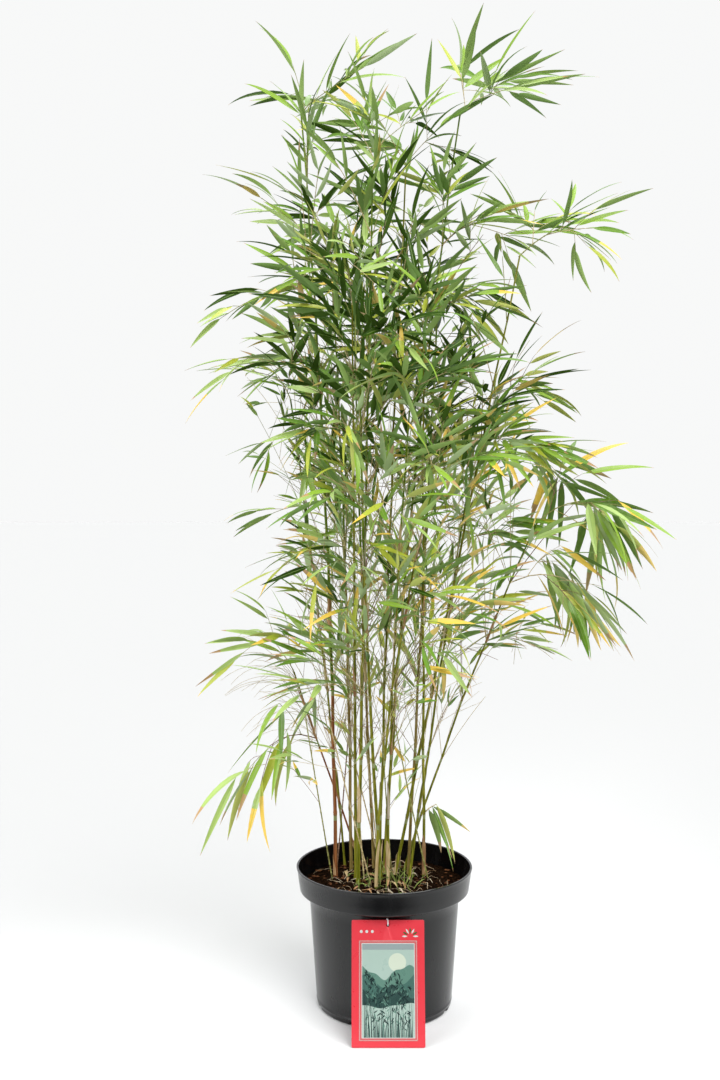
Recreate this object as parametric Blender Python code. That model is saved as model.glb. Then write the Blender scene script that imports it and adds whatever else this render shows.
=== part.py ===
"""A clump of bamboo in a black nursery pot, with a picture label leaning on the pot.

Metres, +Z up, -Y towards the viewer. The origin is the middle of the pot's flat underside.
Every cane is a tapering limb that stands on the soil, and every leafy bough starts 0.3 mm
clear of its cane and keeps clear of all the other pieces.
"""

import math
import random
from collections import namedtuple

import bpy
import bmesh
from mathutils import Matrix, Vector
from mathutils.bvhtree import BVHTree

UP = Vector((0, 0, 1))
GAP = 0.0003  # between pieces that touch
SEED = "bamboo"

# Pot
POT_HEIGHT = 0.226
POT_FOOT_RADIUS = 0.1105
POT_NECK_RADIUS = 0.1232  # where the wall meets the rim band
RIM_BAND = 0.038
RIM_FOOT_RADIUS = 0.1385
RIM_TOP_RADIUS = 0.1437
RIM_SHOULDER = 0.004
LIP_RADIUS = 0.0015
POT_WALL = 0.0024
POT_FLOOR = 0.003
FOOT_CORNER = 0.005
POT_STEPS = 40
DRAIN_SLOTS = 8
DRAIN_WIDTH = 0.016
DRAIN_DEPTH = 0.014
DRAIN_HEIGHT = 0.006
FIRST_DRAIN = 18.0  # degrees

# Soil
SOIL_TOP = 0.196

# Label: a card that stands on its lower edge and leans on the pot's wall
LABEL_WIDTH = 0.1114
LABEL_LENGTH = 0.184
LABEL_THICKNESS = 0.0009
LABEL_FOOT = 0.0417  # how far its lower edge stands out from its upper edge
LABEL_STAND_OFF = 0.0030  # room for the tie between its upper edge and the wall
LABEL_OFFSET = 0.003  # sideways from the pot's middle
LABEL_HOLE_RADIUS = 0.0022
LABEL_HOLE_DROP = 0.008
LABEL_HOLE_SIDES = 10
TIE_RADIUS = 0.0008
TIE_SIDES = 6

# Canes
CANE_SIDES = 5
INTERNODE = 0.105
KNUCKLE = 1.22  # a joint's radius as a share of the cane's
WAIST = 0.96  # and the radius just below a joint
WAIST_DROP = 0.012
BARE_TO = 0.55  # the height to which the joints show
TIP_RADIUS = 0.0015
FLARE = 1.35  # the foot's swelling
FLARE_HEIGHT = 0.018

# Boughs, twigs and leaves
TWIG_SIDES = 3
STEM_RADIUS = TIP_RADIUS
TWIG_RADIUS = 0.0008
THIN_TO = 0.8  # a twig's end as a share of its start
STEM_STEPS = 3
TWIG_STEPS = 1
TWIG_LENGTH = 0.055
TWIG_SPACING = 0.040  # along a stem
TWIG_ANGLE = 48.0
SPIRAL = 137.5  # degrees round the stem from twig to twig
LEAVES_PER_TWIG = 3
LEAF_ANGLE = 36.0
LEAF_LENGTH = 0.118
LEAF_WIDTH = 0.0175
LEAF_BELLY = 0.36  # where a leaf is widest, from its root
LEAF_THICKNESS = 1 / 80  # of its length
LEAF_ARCH = 0.055
LEAF_SAG = 0.45
SINK = 0.35  # how deep a root goes into its twig, in twig radii
CLEARANCE = 0.0007  # kept round every twig and leaf
TRIES = 8

Bough = namedtuple("Bough", "height heading rise reach weep")
Cane = namedtuple("Cane", "foot tip lean girth boughs")
Leaf = namedtuple("Leaf", "root along normal length width")

# Each cane's foot (x, y), its tip (x, y, z), the share of its sideways travel made by half height,
# the radius of its foot, and its boughs. Each bough leaves the cane at the joint nearest to its
# height (TIP: it grows on from the cane's tip). It has a heading in degrees (0 right, 90 back, 180
# left, 270 front), a rise in degrees, a reach, and how strongly it weeps.
TIP = None
CANES = [
    Cane((-0.081, 0.033), (-0.136, 0.020, 1.455), 0.30, 0.0038, [
        Bough(TIP, 15, 45, 0.20, 0.5),
        Bough(1.25, 155, 72, 0.21, 0.6),
        Bough(1.17, 183, 38, 0.25, 1.1),
        Bough(1.00, 178, 32, 0.24, 1.0),
        Bough(0.90, 236, 36, 0.22, 1.0),
    ]),
    Cane((-0.055, 0.060), (-0.090, 0.100, 1.250), 0.30, 0.0034, [
        Bough(TIP, 75, 62, 0.22, 0.7),
        Bough(1.02, 120, 45, 0.22, 0.9),
        Bough(0.74, 140, 50, 0.20, 1.0),
    ]),
    Cane((-0.047, 0.012), (-0.052, -0.070, 1.130), 0.40, 0.0034, [
        Bough(TIP, 255, 60, 0.22, 0.7),
        Bough(0.94, 240, 40, 0.22, 0.9),
        Bough(0.70, 232, 42, 0.21, 1.0),
    ]),
    Cane((-0.043, -0.012), (-0.020, -0.030, 1.350), 0.50, 0.0036, [
        Bough(TIP, 330, 65, 0.21, 0.6),
        Bough(0.55, 190, 45, 0.21, 1.0),
    ]),
    Cane((-0.066, 0.085), (-0.160, 0.115, 1.000), 0.45, 0.0023, [
        Bough(TIP, 150, 60, 0.21, 0.9),
        Bough(0.76, 110, 42, 0.21, 1.0),
    ]),
    Cane((-0.038, 0.084), (-0.150, 0.030, 0.540), 0.50, 0.0021, [
        Bough(TIP, 165, 60, 0.20, 1.0),
        Bough(0.44, 200, 25, 0.25, 1.9),
    ]),
    Cane((-0.016, 0.064), (-0.050, 0.140, 1.150), 0.60, 0.0030, [
        Bough(TIP, 110, 62, 0.21, 0.8),
        Bough(0.86, 85, 45, 0.22, 1.0),
    ]),
    Cane((-0.005, 0.010), (-0.040, -0.110, 1.030), 0.68, 0.0036, [
        Bough(TIP, 275, 60, 0.21, 0.8),
        Bough(0.78, 265, 42, 0.21, 1.0),
    ]),
    Cane((-0.007, 0.030), (0.035, 0.030, 1.360), 0.40, 0.0030, [
        Bough(TIP, 60, 65, 0.21, 0.6),
        Bough(1.12, 20, 50, 0.22, 0.9),
    ]),
    Cane((0.006, -0.004), (0.035, -0.130, 0.960), 0.30, 0.0025, [
        Bough(TIP, 310, 58, 0.21, 0.8),
        Bough(0.60, 320, 35, 0.21, 1.0),
    ]),
    Cane((0.001, 0.045), (0.125, 0.040, 1.460), 0.38, 0.0034, [
        Bough(TIP, 5, 46, 0.21, 0.5),
        Bough(1.22, 335, 52, 0.22, 0.8),
    ]),
    Cane((0.018, 0.030), (0.215, -0.030, 1.215), 0.50, 0.0032, [
        Bough(TIP, 356, 32, 0.25, 0.9),
        Bough(0.93, 325, 45, 0.21, 0.9),
    ]),
    Cane((0.041, 0.033), (0.095, 0.130, 1.160), 0.50, 0.0032, [
        Bough(TIP, 50, 60, 0.21, 0.8),
        Bough(0.88, 70, 45, 0.22, 1.0),
    ]),
    Cane((0.042, 0.020), (0.160, 0.060, 0.970), 0.50, 0.0028, [
        Bough(TIP, 15, 55, 0.21, 0.7),
        Bough(0.78, 40, 40, 0.22, 1.0),
    ]),
    Cane((0.067, 0.034), (0.060, -0.050, 1.080), 0.62, 0.0030, [
        Bough(TIP, 300, 62, 0.21, 0.8),
        Bough(0.27, 340, 66, 0.185, 1.6),
    ]),
    Cane((0.035, 0.060), (0.250, 0.000, 0.790), 0.45, 0.0025, [
        Bough(TIP, 0, 32, 0.24, 1.2),
        Bough(0.70, 338, 30, 0.25, 1.4),
        Bough(0.61, 10, 38, 0.20, 1.0),
    ]),
    Cane((-0.014, -0.028), (0.070, -0.130, 0.840), 0.30, 0.0027, [
        Bough(TIP, 300, 50, 0.21, 0.9),
    ]),
]


# --- Making objects -----------------------------------------------------------------------------


def clear_scene():
    for obj in list(bpy.data.objects):
        bpy.data.objects.remove(obj)


def make_material(name, colour, roughness):
    material = bpy.data.materials.new(name)
    material.use_nodes = True
    shader = material.node_tree.nodes["Principled BSDF"]
    shader.inputs["Base Color"].default_value = (*colour, 1)
    shader.inputs["Roughness"].default_value = roughness
    shader.inputs["Metallic"].default_value = 0
    return material


def add_object(name, points, faces, material, collection=None):
    """A mesh object whose faces all point out."""
    mesh = bpy.data.meshes.new(name)
    mesh.from_pydata(points, [], faces)
    work = bmesh.new()
    work.from_mesh(mesh)
    bmesh.ops.recalc_face_normals(work, faces=work.faces)
    work.to_mesh(mesh)
    work.free()
    mesh.materials.append(material)
    obj = bpy.data.objects.new(name, mesh)
    (collection or bpy.context.scene.collection).objects.link(obj)
    return obj


def shade_round(obj, angle=35):
    obj.data.shade_smooth()
    obj.data.set_sharp_from_angle(angle=math.radians(angle))


def turned(name, profile, material, steps=POT_STEPS):
    """A solid of revolution about Z, spun from a profile of (radius, height) points."""
    work = bmesh.new()
    verts = [work.verts.new((radius, 0, height)) for radius, height in profile]
    edges = [work.edges.new(pair) for pair in zip(verts, verts[1:])]
    outline = verts + edges
    bmesh.ops.spin(
        work, geom=outline, cent=(0, 0, 0), axis=UP, angle=math.tau, steps=steps, use_merge=True
    )
    bmesh.ops.remove_doubles(work, verts=work.verts, dist=1e-5)
    bmesh.ops.recalc_face_normals(work, faces=work.faces)
    mesh = bpy.data.meshes.new(name)
    work.to_mesh(mesh)
    work.free()
    mesh.materials.append(material)
    obj = bpy.data.objects.new(name, mesh)
    bpy.context.scene.collection.objects.link(obj)
    shade_round(obj)
    return obj


def arc(centre, radius, start, end, steps):
    """Points (radius, height) on an arc, its angles in degrees."""
    angles = [math.radians(start + (end - start) * i / steps) for i in range(steps + 1)]
    return [(centre[0] + radius * math.cos(a), centre[1] + radius * math.sin(a)) for a in angles]


def tube(points, radii, sides, first_normal=None):
    """(points, faces) of a tapering tube along a line, each ring square to the line."""
    verts, faces = [], []
    across = None
    for i, centre in enumerate(points):
        ahead = points[min(i + 1, len(points) - 1)] - points[max(i - 1, 0)]
        normal = first_normal if i == 0 and first_normal else ahead.normalized()
        if across is None:
            across = normal.orthogonal()
        across = (across - normal * across.dot(normal)).normalized()
        other = normal.cross(across)
        for side in range(sides):
            angle = math.tau * side / sides
            verts.append(centre + (across * math.cos(angle) + other * math.sin(angle)) * radii[i])
    for i in range(len(points) - 1):
        for side in range(sides):
            a, b = i * sides + side, i * sides + (side + 1) % sides
            faces.append((a, b, b + sides, a + sides))
    last = (len(points) - 1) * sides
    faces.append(tuple(range(sides - 1, -1, -1)))
    faces.append(tuple(range(last, last + sides)))
    return verts, faces


# --- Pot, soil and label ------------------------------------------------------------------------


def pot_outline(inset):
    """The pot's side from the foot up to the lip, moved in by a distance."""
    band_foot = POT_HEIGHT - RIM_BAND
    return [
        (POT_NECK_RADIUS - inset, band_foot - RIM_SHOULDER),
        (POT_NECK_RADIUS + 0.004 - inset, band_foot - RIM_SHOULDER * 0.35),
        (RIM_FOOT_RADIUS - inset, band_foot + inset * 0.2),
        (RIM_TOP_RADIUS - inset, POT_HEIGHT - LIP_RADIUS),
    ]


def make_pot(material):
    """A thin tapered tub with a deep rim band and drain slots round its lower corner."""
    corner = arc((POT_FOOT_RADIUS - FOOT_CORNER, FOOT_CORNER), FOOT_CORNER, -90, 0, 3)
    lip = [
        (RIM_TOP_RADIUS - 0.0005, POT_HEIGHT - 0.0004),
        (RIM_TOP_RADIUS - POT_WALL / 2, POT_HEIGHT),
        (RIM_TOP_RADIUS - POT_WALL + 0.0005, POT_HEIGHT - 0.0004),
    ]
    inside = pot_outline(POT_WALL)[::-1] + [(POT_FOOT_RADIUS - POT_WALL, POT_FLOOR)]
    profile = [(0, 0), *corner, *pot_outline(0), *lip, *inside, (0, POT_FLOOR)]
    pot = turned("pot", profile, material)
    slots = make_drain_cutter(material)
    cut = pot.modifiers.new("drain slots", "BOOLEAN")
    cut.object = slots
    cut.operation = "DIFFERENCE"
    cut.solver = "EXACT"
    return pot


def make_drain_cutter(material):
    """Boxes across the pot's lower corner, in one helper mesh that isn't a piece."""
    work = bmesh.new()
    for i in range(DRAIN_SLOTS):
        turn = Matrix.Rotation(math.radians(FIRST_DRAIN) + math.tau * i / DRAIN_SLOTS, 4, "Z")
        size = Matrix.Diagonal((DRAIN_DEPTH * 2, DRAIN_WIDTH, DRAIN_HEIGHT * 2, 1))
        bmesh.ops.create_cube(
            work, size=1, matrix=turn @ Matrix.Translation((POT_FOOT_RADIUS, 0, 0)) @ size
        )
    mesh = bpy.data.meshes.new("drain_cutter")
    work.to_mesh(mesh)
    work.free()
    mesh.materials.append(material)
    cutter = bpy.data.objects.new("drain_cutter", mesh)
    bpy.context.scene.collection.objects.link(cutter)
    cutter.hide_render = True
    cutter.display_type = "WIRE"
    return cutter


def make_soil(material):
    """The plug of soil that fills the pot, a touch clear of its wall and floor."""
    inset = POT_WALL + GAP * 1.4
    shoulder = pot_outline(inset)
    low, high = shoulder[2], shoulder[3]
    share = (SOIL_TOP - low[1]) / (high[1] - low[1])
    edge = (low[0] + (high[0] - low[0]) * share, SOIL_TOP)
    floor = POT_FLOOR + GAP
    side = [(radius, height) for radius, height in shoulder[:3] if height < SOIL_TOP]
    profile = [(0, floor), (POT_FOOT_RADIUS - inset, floor), *side, edge, (0, SOIL_TOP)]
    return turned("soil", profile, material)


def label_frame():
    """The label's own axes as a matrix: X across it, Y up its length, Z out of its face, from the
    middle of its lower edge on its back."""
    lean = math.asin(LABEL_FOOT / LABEL_LENGTH)
    top = LABEL_LENGTH * math.cos(lean)
    wall_share = top / (POT_HEIGHT - RIM_BAND - RIM_SHOULDER)
    wall_radius = POT_FOOT_RADIUS + (POT_NECK_RADIUS - POT_FOOT_RADIUS) * wall_share
    out = wall_radius + LABEL_STAND_OFF + LABEL_FOOT
    foot = Vector((LABEL_OFFSET, -out, GAP + LABEL_THICKNESS * math.sin(lean)))
    return Matrix.Translation(foot) @ Matrix.Rotation(math.pi / 2 - lean, 4, "X")


def make_label(material):
    """A thin card with one punched hole near its top edge."""
    half = LABEL_WIDTH / 2
    corners = [(-half, 0), (half, 0), (half, LABEL_LENGTH), (-half, LABEL_LENGTH)]
    points = [Vector((x, y, z)) for z in (0, LABEL_THICKNESS) for x, y in corners]
    edges = [(i, (i + 1) % 4, (i + 1) % 4 + 4, i + 4) for i in range(4)]
    faces = [(3, 2, 1, 0), (4, 5, 6, 7), *edges]
    label = add_object("label", points, faces, material)
    label.matrix_world = label_frame()
    hole_line = [Vector((0, LABEL_LENGTH - LABEL_HOLE_DROP, z)) for z in (-0.003, 0.003)]
    hole_solid = tube(hole_line, [LABEL_HOLE_RADIUS] * 2, LABEL_HOLE_SIDES)
    hole = add_object("label_hole_cutter", *hole_solid, material)
    hole.matrix_world = label_frame()
    hole.hide_render = True
    hole.display_type = "WIRE"
    punch = label.modifiers.new("hole", "BOOLEAN")
    punch.object = hole
    punch.operation = "DIFFERENCE"
    punch.solver = "EXACT"
    return label


def make_label_tie(material):
    """A small plastic hook that goes from behind the label through its hole, up its face and over
    its top edge."""
    hole = LABEL_LENGTH - LABEL_HOLE_DROP
    back = -TIE_RADIUS - GAP
    front = LABEL_THICKNESS + TIE_RADIUS + GAP * 2
    over = LABEL_LENGTH + TIE_RADIUS + GAP * 2
    route = [
        (0, hole - 0.0004, back + 0.0002),
        (0, hole, 0.0003),
        (0, hole + 0.0001, front),
        (0, hole + 0.0022, front + 0.0006),
        (0, LABEL_LENGTH - 0.0012, front + 0.0003),
        (-0.0006, over, front - 0.0003),
        (-0.0012, over + 0.0004, LABEL_THICKNESS * 0.3),
        (-0.0018, over - 0.0005, back - 0.0001),
        (-0.0022, over - 0.0026, back - 0.0001),
    ]
    line = [Vector(point) for point in route]
    tie = add_object("label_tie", *tube(line, [TIE_RADIUS] * len(line), TIE_SIDES), material)
    tie.matrix_world = label_frame()
    shade_round(tie)
    return tie


# --- Canes --------------------------------------------------------------------------------------


def cane_centre(cane, height):
    """The cane's middle at a height above the ground."""
    foot, tip = Vector((*cane.foot, SOIL_TOP + GAP)), Vector(cane.tip)
    t = (height - foot.z) / (tip.z - foot.z)
    early = 2 * cane.lean - 0.5
    share = 2 * (1 - t) * t * early + t * t
    return Vector((foot.x + (tip.x - foot.x) * share, foot.y + (tip.y - foot.y) * share, height))


def cane_radius(cane, height):
    t = (height - SOIL_TOP) / (cane.tip[2] - SOIL_TOP)
    return cane.girth + (TIP_RADIUS - cane.girth) * t


def joint_heights(cane):
    """Where the cane's joints are, evenly spaced from its foot to its tip."""
    foot, tip = SOIL_TOP + GAP, cane.tip[2]
    count = max(3, round((tip - foot) / INTERNODE))
    return [foot + (tip - foot) * joint / count for joint in range(1, count + 1)]


def cane_rings(cane):
    """(height, radius) of each ring: a flared foot, then joints with a waist below each bare one."""
    foot = SOIL_TOP + GAP
    rings = [(foot, cane.girth * FLARE), (foot + FLARE_HEIGHT, cane.girth)]
    for height in joint_heights(cane):
        radius = cane_radius(cane, height)
        if height < BARE_TO:
            rings.append((height - WAIST_DROP, radius * WAIST))
            rings.append((height, radius * KNUCKLE))
        else:
            rings.append((height, radius))
    return rings


def make_cane(name, cane, material):
    rings = cane_rings(cane)
    line = [cane_centre(cane, height) for height, _ in rings]
    points, faces = tube(line, [radius for _, radius in rings], CANE_SIDES, first_normal=UP)
    obj = add_object(name, points, faces, material)
    shade_round(obj, 60)
    return obj


# --- Boughs of leaves ---------------------------------------------------------------------------


def heading_vector(heading, rise):
    """A unit vector from a compass heading and a rise, both in degrees."""
    a, b = math.radians(heading), math.radians(rise)
    return Vector((math.cos(a) * math.cos(b), math.sin(a) * math.cos(b), math.sin(b)))


def drooping_line(start, direction, length, weep, steps):
    """A line that sets off in a direction and bends down evenly along its length."""
    points, heading = [start], direction.copy()
    for _ in range(steps):
        points.append(points[-1] + heading * (length / steps))
        heading = (heading - UP * (weep / steps)).normalized()
    return points


def along_line(points, share):
    """(place, direction) at a share of a line's length."""
    spans = len(points) - 1
    place = min(share, 0.9999) * spans
    i = int(place)
    step = points[i + 1] - points[i]
    return points[i] + step * (place - i), step.normalized()


def fan(direction, angle, roll):
    """A direction turned sideways from a twig in the twig's own level plane, then rolled."""
    level = UP - direction * UP.dot(direction)
    level = level.normalized() if level.length > 0.1 else direction.orthogonal()
    turned_side = Matrix.Rotation(math.radians(angle), 3, level) @ direction
    return Matrix.Rotation(math.radians(roll), 3, direction) @ turned_side


def leaf_solid(leaf, margin=0.0, first=0.0):
    """(points, faces) of a thin eight-faced blade with an arch. A margin swells it all round, and
    first leaves out that share of it from its root."""
    across = leaf.along.cross(leaf.normal).normalized()
    arched = leaf.along * LEAF_BELLY + leaf.normal * LEAF_ARCH
    belly = leaf.root + arched * leaf.length
    half_width = leaf.width / 2 + margin
    half_thick = leaf.length * LEAF_THICKNESS / 2 + margin
    points = [
        leaf.root.lerp(belly, first / LEAF_BELLY) - leaf.along * margin,
        leaf.root + leaf.along * (leaf.length + margin),
        belly + across * half_width,
        belly + leaf.normal * half_thick,
        belly - across * half_width,
        belly - leaf.normal * half_thick,
    ]
    ring = [(2, 3), (3, 4), (4, 5), (5, 2)]
    return points, [(0, b, a) for a, b in ring] + [(1, a, b) for a, b in ring]


class Space:
    """The room already taken, piece by piece."""

    def __init__(self):
        self.pieces = {}

    def take(self, name, points, faces):
        self.pieces[name] = ([Vector(p) for p in points], faces)

    def take_object(self, obj):
        points = [obj.matrix_world @ v.co for v in obj.data.vertices]
        self.take(obj.name, points, [tuple(p.vertices) for p in obj.data.polygons])

    def tree(self, leave_out=None):
        """A search tree over every piece but one."""
        all_points, all_faces = [], []
        for name, (points, faces) in self.pieces.items():
            if name != leave_out:
                base = len(all_points)
                all_points.extend(points)
                all_faces.extend(tuple(base + i for i in face) for face in faces)
        return BVHTree.FromPolygons(all_points, all_faces)


def touches(tree, points, faces):
    return bool(tree.overlap(BVHTree.FromPolygons(points, faces)))


def bough_root(cane, cane_tree, bough):
    """Where a bough's stem starts, 0.3 mm off its cane, and the way its flat end faces."""
    if bough.height is TIP:
        tip = Vector(cane.tip)
        rings = cane_rings(cane)
        ahead = (tip - cane_centre(cane, rings[-2][0])).normalized()
        return tip + ahead * GAP, ahead
    outward = heading_vector(bough.heading, 0)
    joint = min(joint_heights(cane), key=lambda height: abs(height - bough.height))
    middle = cane_centre(cane, joint)
    hit, normal, _, _ = cane_tree.ray_cast(middle + outward * 0.02, -outward)
    return hit + normal * GAP, normal


def grow_stem(name, bough, root, facing, taken):
    """A bough's main stem: the first of some slightly different headings that stays clear."""
    length = bough.reach - TWIG_LENGTH - LEAF_LENGTH * 0.9
    radii = [STEM_RADIUS * (1 - (1 - THIN_TO) * i / STEM_STEPS) for i in range(STEM_STEPS + 1)]
    for attempt in range(TRIES * 3):
        swing = (attempt + 1) // 2 * 5 * (-1) ** attempt
        direction = (heading_vector(bough.heading + swing, bough.rise) + facing * 0.25).normalized()
        points = drooping_line(root, direction, length, bough.weep * 0.6, STEM_STEPS)
        swollen = tube(points[1:], [r + CLEARANCE for r in radii[1:]], TWIG_SIDES)
        solid = tube(points, radii, TWIG_SIDES, first_normal=facing)
        if not touches(taken, *swollen) and not touches(taken, *solid):
            return points, solid
    raise ValueError(f"{name} finds no clear way out from its cane")


def grow_twig(bough, stem, place, roll, rng, taken):
    """One side twig, or None where every try would touch a neighbour."""
    start, direction = along_line(stem, place)
    length = TWIG_LENGTH * rng.uniform(0.8, 1.15)
    radii = [TWIG_RADIUS * (1 - (1 - THIN_TO) * i / TWIG_STEPS) for i in range(TWIG_STEPS + 1)]
    for _ in range(TRIES):
        way = fan(direction, TWIG_ANGLE * rng.uniform(0.7, 1.3), roll + rng.uniform(-30, 30))
        points = drooping_line(start, way, length, bough.weep * 0.5, TWIG_STEPS)
        swollen = tube(points, [r + CLEARANCE for r in radii], TWIG_SIDES)
        if not touches(taken, *swollen):
            return points, tube(points, radii, TWIG_SIDES)
    return None


def grow_leaf(twig, place, angle, weep, rng, taken, sisters):
    """One leaf on a twig, or None where every try would touch a neighbour or a sister leaf."""
    start, direction = along_line(twig, place)
    for _ in range(TRIES):
        along = fan(direction, angle * rng.uniform(0.6, 1.35), rng.uniform(-35, 35))
        along = (along - UP * LEAF_SAG * weep * rng.uniform(0.2, 1.3)).normalized()
        level = (UP - along * UP.dot(along)).normalized()
        normal = Matrix.Rotation(math.radians(rng.uniform(-50, 50)), 3, along) @ level
        length = LEAF_LENGTH * rng.uniform(0.72, 1.12)
        root = start - along * (TWIG_RADIUS * SINK)
        leaf = Leaf(root, along, normal, length, LEAF_WIDTH * rng.uniform(0.85, 1.1))
        swollen = leaf_solid(leaf, CLEARANCE)
        blade = leaf_solid(leaf, 0.0002, 0.2)
        if not touches(taken, *swollen) and not any(touches(tree, *blade) for tree in sisters):
            return leaf
    return None


def grow_bough(name, bough, stem, taken):
    """The pieces of one mass as (points, faces): its stem, its twigs and their leaves."""
    rng = random.Random(f"{SEED} {name}")
    line, stem_solid = stem
    twigs, solids, sisters = [line], [stem_solid], []
    count = max(3, round((line[-1] - line[0]).length / TWIG_SPACING))
    for i in range(count):
        place = 0.3 + 0.6 * i / (count - 1)
        grown = grow_twig(bough, line, place, SPIRAL * i + 60, rng, taken)
        if grown:
            twigs.append(grown[0])
            solids.append(grown[1])
    for twig in twigs:
        for i in range(LEAVES_PER_TWIG):
            place = 0.99 - 0.22 * i
            angle = LEAF_ANGLE * (0.15 if i == 0 else (1 if i % 2 else -1))
            leaf = grow_leaf(twig, place, angle, bough.weep, rng, taken, sisters)
            if leaf:
                sisters.append(BVHTree.FromPolygons(*leaf_solid(leaf, 0.0, 0.2)))
                solids.append(leaf_solid(leaf))
    return solids


def fuse(name, solids, material):
    """One closed solid from overlapping ones, by a single Boolean union on a collection."""
    body = add_object(name, *solids[0], material)
    pieces = bpy.data.collections.new(name + "_pieces")
    bpy.context.scene.collection.children.link(pieces)
    for i, solid in enumerate(solids[1:]):
        add_object(f"{name}_piece_{i}", *solid, material, pieces)
    join = body.modifiers.new("join", "BOOLEAN")
    join.operation = "UNION"
    join.operand_type = "COLLECTION"
    join.collection = pieces
    join.solver = "MANIFOLD"
    graph = bpy.context.evaluated_depsgraph_get()
    mesh = bpy.data.meshes.new_from_object(body.evaluated_get(graph))
    body.modifiers.clear()
    body.data = mesh
    for piece in list(pieces.objects):
        bpy.data.objects.remove(piece)
    bpy.data.collections.remove(pieces)
    return body


def make_canes_and_boughs(cane_material, leaf_material, space):
    """All canes, then every bough's stem, then each bough's twigs and leaves, so that each keeps
    clear of all the others."""
    for number, cane in enumerate(CANES, 1):
        space.take_object(make_cane(f"cane_{number:02d}", cane, cane_material))
    stems = {}
    for number, cane in enumerate(CANES, 1):
        skin = BVHTree.FromPolygons(*space.pieces[f"cane_{number:02d}"])
        for letter, bough in zip("abcdefgh", cane.boughs):
            name = f"foliage_{number:02d}{letter}"
            stems[name] = (bough, grow_stem(name, bough, *bough_root(cane, skin, bough), space.tree()))
            space.take(name, *stems[name][1][1])
    leaves = 0
    for name, (bough, stem) in stems.items():
        solids = grow_bough(name, bough, stem, space.tree(leave_out=name))
        leaves += sum(len(points) == 6 and len(faces) == 8 for points, faces in solids)
        space.take_object(fuse(name, solids, leaf_material))
    print("leaves:", leaves)


def main():
    clear_scene()
    pot_plastic = make_material("black pot plastic", (0.018, 0.019, 0.021), 0.42)
    soil_earth = make_material("dark peat", (0.030, 0.017, 0.010), 0.95)
    label_card = make_material("red label card", (0.72, 0.045, 0.055), 0.35)
    tie_plastic = make_material("white tie plastic", (0.85, 0.85, 0.85), 0.40)
    cane_skin = make_material("green cane", (0.210, 0.235, 0.055), 0.45)
    leaf_green = make_material("green leaf", (0.105, 0.215, 0.050), 0.50)
    space = Space()
    space.take_object(make_pot(pot_plastic))
    space.take_object(make_soil(soil_earth))
    label, tie = make_label(label_card), make_label_tie(tie_plastic)
    bpy.context.view_layer.update()
    space.take_object(label)
    space.take_object(tie)
    make_canes_and_boughs(cane_skin, leaf_green, space)


main()
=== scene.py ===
# %% [markdown]
# # A bamboo in its nursery pot
#
# This lesson dresses a plain model of a potted bamboo until it looks grown. The plain model is
# loaded as a fixed frame: it says where the pot, the label, every cane and every mass of leaves
# is, in metres, with Z up and the viewer towards -Y. We never move it. We build finer pieces in
# the same places and let them stand for the plain ones.

# %% Load the plain model
import math
import random
from collections import namedtuple

import bmesh
import bpy
from mathutils import Matrix, Vector, noise
from mathutils.bvhtree import BVHTree


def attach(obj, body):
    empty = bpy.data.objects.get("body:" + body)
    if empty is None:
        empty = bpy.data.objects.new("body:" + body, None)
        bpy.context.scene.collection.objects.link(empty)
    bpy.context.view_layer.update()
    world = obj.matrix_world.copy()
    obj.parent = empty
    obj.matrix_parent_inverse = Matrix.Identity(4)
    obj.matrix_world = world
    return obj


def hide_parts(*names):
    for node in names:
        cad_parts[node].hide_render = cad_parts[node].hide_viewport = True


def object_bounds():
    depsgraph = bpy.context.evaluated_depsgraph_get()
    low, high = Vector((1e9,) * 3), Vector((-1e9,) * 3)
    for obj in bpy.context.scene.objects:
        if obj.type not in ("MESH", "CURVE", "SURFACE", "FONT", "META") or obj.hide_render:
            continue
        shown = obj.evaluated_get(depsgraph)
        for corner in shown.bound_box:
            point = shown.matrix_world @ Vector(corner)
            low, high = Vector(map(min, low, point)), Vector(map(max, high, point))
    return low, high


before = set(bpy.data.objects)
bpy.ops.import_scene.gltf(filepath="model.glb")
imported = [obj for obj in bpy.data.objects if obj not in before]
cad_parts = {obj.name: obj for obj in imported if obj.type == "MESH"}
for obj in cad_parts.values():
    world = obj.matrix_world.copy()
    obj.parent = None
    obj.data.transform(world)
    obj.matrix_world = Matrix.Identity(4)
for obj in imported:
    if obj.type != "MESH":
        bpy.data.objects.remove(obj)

plain_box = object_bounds()
UP = Vector((0, 0, 1))
print("plain model:", len(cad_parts), "nodes, box", [tuple(corner) for corner in plain_box])

# %% [markdown]
# ## The studio
#
# A garden centre shows such a plant before a white wall, in bright soft light. We could model the
# wall, but a wall would hide the plant from behind. A white world and one wide white floor look
# the same from every side. Three soft suns light everything evenly, however far it lies, so the
# floor has no dark edge; one comes from the right in front and gives the leaves their bright
# tops.
#
# What the camera sees of the world and what lights the plant are two different whites: a dimmer
# room gives deep shade inside the crown. A black pot also needs something dark to mirror, or it
# turns grey. So the room is dim in front, as it is behind whoever looks, and bright low down at
# the sides, where long panels would stand: they draw the highlights down the pot's flanks.

# %% Camera
CAMERA_PLACE = (-0.0399, -1.8533, 0.8145)
CAMERA_DIP = 1.672  # degrees below level
CAMERA_LENS = 37.83  # mm, for the longer side of the picture

camera_data = bpy.data.cameras.new("camera")
camera_data.lens = CAMERA_LENS
camera = bpy.data.objects.new("camera", camera_data)
camera.location = CAMERA_PLACE
camera.rotation_euler = (math.radians(90 - CAMERA_DIP), 0, 0)
bpy.context.scene.collection.objects.link(camera)
bpy.context.scene.camera = camera
print("camera at", CAMERA_PLACE, "with a lens of", CAMERA_LENS, "mm")

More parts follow.
